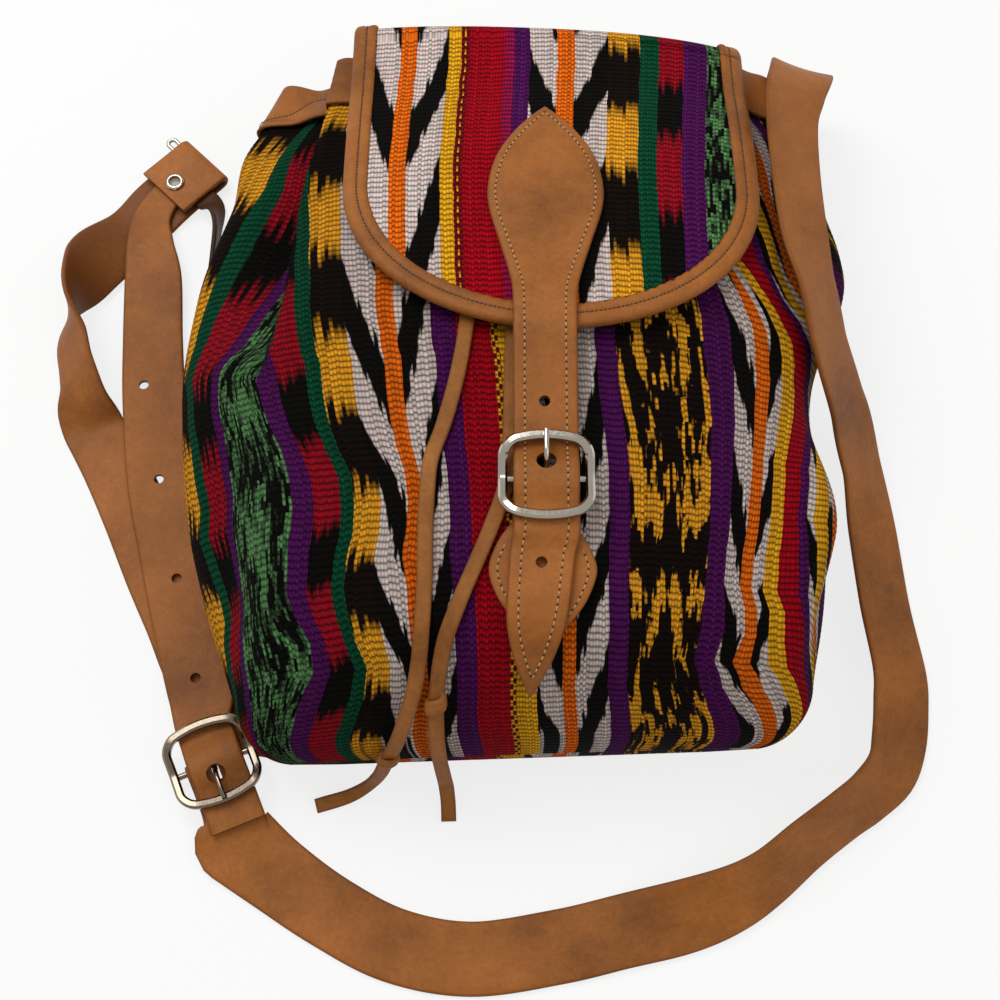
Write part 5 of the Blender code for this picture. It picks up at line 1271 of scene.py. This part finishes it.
# %% Closure strap and patch
PRONG_HOLE, STRAP_HOLE, EYELET_HOLE, PRONG_REACH = 7.4, 4.2, 6.5, 5.4
CLOSURE_TOP = ((13.2, 92.0, 8.6, 1.5), (13.1, 89.0, 8.6, 8.0), (13.0, 78.0, 8.6, 25.0),
               (12.9, 64.0, 8.6, 39.0), (12.8, 50.0, 8.6, 45.0), (12.6, 38.0, 8.6, 44.0),
               (12.3, 22.0, 8.6, 35.5), (12.1, 8.0, 9.2, 28.0), (11.9, -2.0, 10.5, 24.6),
               (11.8, -18.0, 10.5, 24.0), (11.8, -28.0, 8.6, 24.0), (11.8, -42.0, 6.0, 24.0))
CLOSURE_TIP = ((10.4, -103.0, 4.3, 23.5), (8.6, -121.0, 4.3, 22.5), (7.5, -132.0, 4.3, 20.0),
               (6.7, -142.0, 3.9, 12.5), (5.9, -150.0, 3.3, 2.0))
PATCH = ((11.0, -136.0, 1.4, 2.0), (10.8, -130.0, 1.4, 16.0), (10.6, -121.0, 1.4, 31.0),
         (10.4, -110.0, 1.4, 39.0), (10.7, -101.0, 1.5, 34.0), (11.2, -95.5, 1.8, 27.0))
threaded = buckle_band(FRONT_BUCKLE, FRONT_BASE, threaded_rows(24.0, ((20.0, 1.1),), ((-20.0, 1.1),)))
closure_frames = even_rows(np.vstack([front_frames(CLOSURE_TOP), threaded, front_frames(CLOSURE_TIP)]), 2.0)
closure = leather_band("closure_strap_leather", closure_frames, strap_leather, "bag", ["closure_strap"], 13,
                       grain=-1.0)
closure_punches = [((x, y, float(front_z(x, y)) + 4.0), STRAP_HOLE, "round")
                   for x, y in ((11.4, -46.5), (11.0, -91.5), (9.8, -108.0))]
prong_place = buckle_points(FRONT_BUCKLE, FRONT_BASE, [(0.0, PRONG_REACH, BAR_HEIGHT)])[0]
closure_punches.append((tuple(prong_place), PRONG_HOLE, "round"))
punch(closure, closure_punches)
patch_frames = even_rows(np.vstack([front_frames(PATCH, thickness=SKIVED),
                                    buckle_band(FRONT_BUCKLE, FRONT_BASE, loop_rows(20.0))]), 1.2)
patch = leather_band("buckle_patch_leather", patch_frames, strap_leather, "bag", ["buckle_patch"], 9)
punch(patch, [(tuple(buckle_points(FRONT_BUCKLE, FRONT_BASE, [(0.0, -0.8, BAR_HEIGHT)])[0]), 0.0, "slot")])
print("closure", len(closure.data.polygons), "faces, patch", len(patch.data.polygons))

# %% [markdown]
# ## The shoulder strap
# The shoulder strap is made of three lengths. The long strap leaves the collar at the right, runs
# down the bag's side and round below it, and loops over the strap buckle's bar. The holed
# strap comes up from under the buckle to the hanger. The ring strap is sewn to the bag's lower left
# corner, twists once and ends in a riveted fold that holds a ring.

# %% Strap routes
LONG_STRAP = (
    (121.5, 88.0, 1.4, 90.0, 0.0, 28.0), (120.5, 106.0, 1.4, 90.0, 0.0, 28.0),
    (120.5, 124.0, 1.5, 90.0, -1.0, 28.0), (123.0, 136.5, 4.8, 90.0, -4.0, 28.0),
    (126.0, 142.5, 14.0, 90.0, -10.0, 28.0), (127.0, 143.5, 28.0, 90.0, -18.0, 28.0),
    (126.5, 139.0, 43.0, 90.0, -24.0, 28.0), (124.0, 130.5, 54.0, 90.0, -28.0, 28.0),
    (120.5, 119.0, 61.0, 91.0, -30.0, 28.0), (116.5, 102.0, 66.5, 92.0, -33.0, 28.0),
    (115.5, 72.0, 71.0, 91.0, -36.0, 28.0), (117.0, 38.0, 73.0, 88.0, -38.0, 28.0),
    (121.5, 17.0, 69.5, 84.0, -49.0, 28.0), (126.7, -2.0, 58.5, 83.0, -54.0, 28.0),
    (135.3, -19.0, 40.5, 82.0, -55.0, 28.0), (143.2, -38.0, 21.3, 83.0, -50.0, 28.0),
    (148.0, -64.0, 10.6, 85.0, -36.0, 28.0), (150.8, -95.0, 9.3, 86.0, -33.0, 28.0),
    (154.5, -122.0, 8.9, 89.0, -31.0, 28.0), (154.0, -136.0, 8.6, 90.0, -30.0, 28.0),
    (152.0, -150.0, 9.0, 84.0, -32.0, 28.0), (147.3, -163.0, 10.8, 75.0, -39.0, 28.0),
    (138.0, -173.0, 12.1, 70.0, -46.0, 28.0), (127.5, -181.0, 12.9, 63.0, -50.0, 28.0),
    (112.0, -192.6, 12.7, 53.0, -50.0, 28.0), (97.5, -204.4, 11.8, 41.0, -46.0, 28.0),
    (84.0, -212.0, 9.6, 30.0, -35.0, 28.0), (66.0, -218.0, 5.4, 20.0, -16.0, 28.0),
    (43.0, -223.0, 1.9, 12.0, 0.0, 28.0), (17.0, -229.0, 1.45, 6.0, 0.0, 28.0),
    (-16.0, -233.5, 1.35, -1.0, 0.0, 28.0), (-45.0, -228.5, 1.35, -13.0, 0.0, 28.0),
    (-70.0, -216.0, 1.35, -28.0, 0.0, 28.0), (-91.5, -201.5, 1.35, -42.0, 0.0, 29.5),
    (-107.0, -189.5, 3.0, -57.0, 0.0, 33.0))
HOLED_STRAP = (
    (-147.5, 107.5, 4.4, -133.0, 0.0, 13.0), (-154.0, 101.0, 4.4, -128.0, 0.0, 14.0),
    (-160.0, 88.0, 5.0, -102.0, 0.0, 17.0), (-159.5, 74.0, 6.4, -90.0, 0.0, 21.0),
    (-157.0, 57.0, 5.8, -86.0, 0.0, 25.0), (-155.3, 28.0, 4.2, -86.0, 0.0, 26.0),
    (-152.5, 0.0, 5.6, -84.0, 0.0, 27.0), (-147.5, -37.0, 4.0, -80.0, 0.0, 28.0),
    (-140.5, -67.0, 3.8, -77.0, 0.0, 28.0), (-132.5, -99.0, 3.8, -75.0, 0.0, 28.0),
    (-124.8, -128.0, 4.4, -73.0, 0.0, 27.0))
RING_STRAP = (
    (-91.0, -142.5, 1.5, 166.0, 0.0, 28.0), (-97.0, -141.5, 1.3, 160.0, 0.0, 28.0),
    (-104.0, -140.0, 1.3, 150.0, 0.0, 28.0), (-112.0, -136.0, 1.3, 138.0, 0.0, 28.0),
    (-120.5, -128.0, 1.3, 122.0, 0.0, 28.0), (-128.0, -116.0, 1.2, 112.0, 0.0, 28.0),
    (-135.5, -99.0, 1.3, 110.0, 0.0, 28.0), (-145.5, -78.0, 1.3, 110.0, 0.0, 28.0),
    (-156.5, -53.0, 1.3, 112.0, 0.0, 28.0), (-167.0, -32.0, 1.35, 112.0, 0.0, 27.0),
    (-174.8, -18.5, 1.4, 111.0, 0.0, 26.0), (-178.4, -12.0, 2.0, 110.0, 1.0, 26.0),
    (-181.8, -4.0, 7.9, 106.0, 27.0, 25.5), (-183.6, 4.0, 10.7, 103.0, 42.0, 25.5),
    (-186.0, 13.0, 11.7, 99.0, 50.0, 26.0), (-188.8, 27.0, 12.9, 94.0, 57.0, 27.0),
    (-189.0, 42.0, 15.2, 82.0, 92.0, 28.0), (-185.5, 54.0, 13.5, 68.0, 122.0, 28.0),
    (-180.5, 66.5, 8.4, 54.0, 150.0, 28.0), (-168.5, 82.5, 1.6, 48.0, 179.0, 28.0),
    (-158.0, 96.0, 1.9, 47.0, 180.0, 28.0), (-147.0, 108.3, 1.9, 45.0, 180.0, 28.0))
HANGER_STRIP = (
    (-139.6, 101.0, 4.4, -45.0, 0.0, 11.0), (-136.4, 98.0, 4.4, -45.0, 0.0, 11.0),
    (-133.8, 95.4, 4.8, -50.0, 18.0, 11.0), (-131.5, 91.0, 5.8, -70.0, 60.0, 11.5),
    (-130.5, 83.0, 6.5, -88.0, 86.0, 12.0), (-130.7, 70.0, 6.5, -91.0, 90.0, 12.0),
    (-132.0, 47.0, 6.5, -95.0, 90.0, 12.0), (-135.0, 27.0, 6.5, -96.0, 90.0, 12.0),
    (-135.5, 12.0, 6.5, -75.0, 90.0, 12.0), (-129.0, -1.0, 6.5, -52.0, 90.0, 12.0),
    (-123.0, -6.5, 6.5, -42.0, 90.0, 12.0))
TAB_FOLD, TAB_HEADING, TAB_LOW_Z, TAB_POCKET = (-139.3, 116.2), 45.0, 1.9, 5.0
print("rows", len(LONG_STRAP), len(HOLED_STRAP), len(RING_STRAP), len(HANGER_STRIP))

# %% Straps
def tab_frames():
    turn = math.radians(TAB_HEADING)
    forward = np.array((math.cos(turn), math.sin(turn), 0.0))
    lateral = np.array((-math.sin(turn), math.cos(turn), 0.0))
    radius = TAB_POCKET / 2.0
    fold = np.array((*TAB_FOLD, TAB_LOW_Z + radius))
    places = [fold + forward * radius * math.cos(a) + np.array((0.0, 0.0, radius * math.sin(a)))
              for a in np.radians(np.arange(-90.0, 91.0, 15.0))]
    places += [fold - forward * reach + np.array((0.0, 0.0, radius)) for reach in (8.0, 16.0, 22.5)]
    return np.array([(*p, *lateral, 28.0, 2.2) for p in places])


near = ((-23.0, 3.0, 24.0, 1.9), (-18.0, 3.3, 22.0, 1.6))
long_frames = even_rows(np.vstack([floor_frames(LONG_STRAP), buckle_band(
    STRAP_BUCKLE, STRAP_BUCKLE_LIFT, (*near, *loop_rows(22.0)), 0.0, -1.0)]), 2.0)
long_strap = leather_band("long_strap_leather", long_frames, strap_leather, "bag", ["long_strap"], 11,
                          grain=-1.0)
slot_place = tuple(buckle_points(STRAP_BUCKLE, STRAP_BUCKLE_LIFT, [(0.0, -0.8, BAR_HEIGHT)])[0])
punch(long_strap, [(slot_place, STRAP_BUCKLE[2], "slot")])
holed_threaded = threaded_rows(22.0, (), ((-20.0, 1.7), (-27.0, 1.2)))
holed_frames = even_rows(np.vstack([floor_frames(HOLED_STRAP), buckle_band(
    STRAP_BUCKLE, STRAP_BUCKLE_LIFT, holed_threaded, 1.2, -1.0)]), 2.0)
holed_strap = leather_band("holed_strap_leather", holed_frames, strap_leather, "bag", ["holed_strap"], 11)
turn = math.radians(TAB_HEADING)
eyelet_at = (TAB_FOLD[0] - 15.8 * math.cos(turn) + 0.2 * math.sin(turn),
             TAB_FOLD[1] - 15.8 * math.sin(turn) - 0.2 * math.cos(turn))
holed_punches = [((x, y, 4.0), STRAP_HOLE, "round")
                 for x, y in ((-157.2, 5.5), (-148.0, -37.5), (-137.5, -81.5), (-127.0, -124.0))]
prong_place = buckle_points(STRAP_BUCKLE, 0.0, [(0.0, -PRONG_REACH, 6.0)])[0]
eyelet_punch = ((*eyelet_at, 4.0), EYELET_HOLE, "round")
holed_punches += [(tuple(prong_place), PRONG_HOLE, "round"), eyelet_punch]
punch(holed_strap, holed_punches)
ring_frames = even_rows(np.vstack([floor_frames(RING_STRAP), tab_frames()]), 2.0)
ring_strap = leather_band("ring_strap_leather", ring_frames, strap_leather, "bag", ["ring_strap"], 11)
punch(ring_strap, [eyelet_punch])
hanger_frames = floor_frames(HANGER_STRIP, 2.0)
# The hanger strip's darker leather is painted shade
leather_band("hanger_strip_leather", hanger_frames, hanger_shaded_leather, "bag", ["hanger_strip"], 5)
print("long strap", round(run_along(long_frames[:, :3])[-1]), "mm")

# %% Ring and eyelet
def ring_and_eyelet():
    forward = np.array((math.cos(turn), math.sin(turn), 0.0))
    side = np.array((math.sin(turn), -math.cos(turn), 0.0))
    half = 2.0
    middle = np.array((*TAB_FOLD, TAB_LOW_Z + TAB_POCKET / 2.0)) - forward * half
    line = []
    for end, start in ((-18.0, 90), (8.0, -90)):
        line += [middle + side * (end + half * math.cos(a)) + forward * half * math.sin(a)
                 for a in np.radians(start + np.arange(0.0, 181.0, 15.0))]
    metal_sweep("tab_ring_wire", line, round_section(2.0), "bag", ["tab_ring"], closed=True)
    top, foot = TAB_LOW_Z + TAB_POCKET + 1.1, TAB_LOW_Z - 1.1 - GAP
    profile = [(2.5, top + 0.95), (2.62, top + 1.25), (3.0, top + 1.42), (3.45, top + 1.32),
               (3.9, top + 0.98), (4.22, top + 0.6), (4.3, top + GAP), (2.9, top + GAP), (2.9, foot),
               (4.3, foot),
               (4.3, foot - 0.4), (2.5, foot - 0.4)]
    angle = np.linspace(0.0, 2.0 * math.pi, 40, endpoint=False)
    points = np.array([[(eyelet_at[0] + r * math.cos(a), eyelet_at[1] + r * math.sin(a), z) for a in angle]
                       for r, z in profile])
    faces = grid_faces(len(profile), 40, closed_across=True, closed_along=True, flip=True)
    made = add_piece("tab_eyelet_nickel", points.reshape(-1, 3), faces, nickel, "bag", ["tab_eyelet"])
    made.data.set_sharp_from_angle(angle=math.radians(50.0))
    return made


ring_and_eyelet()
print("eyelet at", [round(v, 1) for v in eyelet_at])

# %% [markdown]
# ## Stitching
# The leather is sewn by hand with waxed linen thread. Every stitch is a short bead that sinks into the
# leather at both ends, and a row of them is one piece.

# %% Waxed thread
def waxed_thread(name, dark, light):
    material, tree, shader = new_material(name, Roughness=0.6, IOR=1.5)
    place = add_node(tree, "TexCoord").outputs["Object"]
    twist = add_node(tree, "TexNoise", {"Scale": 1500.0, "Detail": 4.0}, {"Vector": place}).outputs[0]
    ramp = add_node(tree, "ValToRGB", links={0: twist})
    ramp.color_ramp.elements[0].color, ramp.color_ramp.elements[1].color = linear(dark), linear(light)
    ramp.color_ramp.elements[0].position, ramp.color_ramp.elements[1].position = 0.3, 0.7
    tree.links.new(ramp.outputs[0], shader.inputs["Base Color"])
    return material


pale_thread = waxed_thread("waxed_linen_thread", "#94693A", "#CDA468")
brown_thread = waxed_thread("brown_linen_thread", "#3A2413", "#5E3F25")
hole_shade = waxed_thread("needle_hole_shade", "#1E1109", "#2E1B0E")


def stitching(name, line, away, material, pitch=2.7, long=1.7, wide=0.62, tall=0.42, phase=0.6):
    line, away = np.asarray(line, dtype=float), np.asarray(away, dtype=float)
    run = run_along(line)
    sides, ends = 8, (-1.0, -0.82, -0.4, 0.0, 0.4, 0.82, 1.0)
    swell = (0.12, 0.7, 1.0, 1.06, 1.0, 0.7, 0.12)
    turn_angle = np.linspace(0.0, 2.0 * math.pi, sides, endpoint=False)
    points, faces = [], []
    for at in np.arange(pitch * phase, run[-1] - pitch * 0.5, pitch):
        middle, ahead, behind = (np.array([np.interp(place, run, column) for column in line.T])
                                 for place in (at, at + 0.8, at - 0.8))
        up = np.array([np.interp(at, run, column) for column in away.T])
        along = unit(ahead - behind)
        up = unit(up - along * float(up @ along))
        beside = np.cross(along, up)
        start = len(points)
        for share, size in zip(ends, swell):
            centre = middle + along * share * long / 2.0 + up * (0.12 - 0.3 * share * share)
            points += [centre + beside * math.cos(a) * wide / 2.0 * size
                       + up * math.sin(a) * tall / 2.0 * size for a in turn_angle]
        faces += [[start + i for i in face] for face in grid_faces(len(ends), sides, closed_across=True)]
        faces += [[start + i for i in range(sides)][::-1],
                  [start + (len(ends) - 1) * sides + i for i in range(sides)]]
    return add_piece(name, points, faces, material, "bag")


def band_line(frames, share, inset, lift):
    middle, lateral, rise, width, thickness = band_axes(frames)
    rise = rise * np.where(rise[:, 2:3] < 0.0, -1.0, 1.0)
    reach = np.maximum(0.0, width / 2.0 - inset)
    return middle + lateral * (share * reach)[:, None] + rise * (thickness / 2.0 + lift)[:, None], rise


def sewn_row(name, line, away, material, pitch=2.7):
    stitching(f"{name}_stitching", line, away, material, pitch, 0.62 * pitch)
    # Dark beads under each stitch are painted shade in the needle holes
    stitching(f"{name}_needle_holes", line, away, hole_shade, pitch, 0.9, 0.8, 0.3, 0.1)


BINDING_PITCH, COLLAR_SEAM_Y = 3.5, 113.4
sewn = closure_frames[closure_frames[:, 6] > 6.5]
patch_leaf = patch_frames[(patch_frames[:, 1] < -99.0) & (patch_frames[:, 6] > 7.0)]
sewn_inset = np.interp(sewn[:, 6], (24.0, 45.0), (4.3, 3.2))
for side_name, share in (("left", -1.0), ("right", 1.0)):
    sewn_row(f"closure_{side_name}", *band_line(sewn, share, sewn_inset, 0.0), pale_thread)
    sewn_row(f"patch_{side_name}", *band_line(patch_leaf, share, 3.2, 0.0), pale_thread)
edge_line = np.array([flap_surface(*edge_point(step, GROOVE), CLOTH / 2.0 + 1.5 * GAP + BINDING_LEATHER - 0.5)
                      for step in EDGE])
edge_up = np.array([flap_surface(*edge_point(step, GROOVE), 5.0) for step in EDGE]) - edge_line
sewn_row("binding", edge_line, edge_up, brown_thread, BINDING_PITCH)
collar_turns = np.radians(np.linspace(-90.0, 270.0, 721))
seam_y = np.full(len(collar_turns), COLLAR_SEAM_Y)
collar_line = bag_surface(collar_turns, seam_y, 1.3 * GAP + 1.75, 0.03)
collar_up = bag_surface(collar_turns, seam_y, 1.3 * GAP + 5.0, 0.03) - collar_line
sewn_row("collar", collar_line, collar_up, brown_thread, BINDING_PITCH)
print("stitching rows", 6)
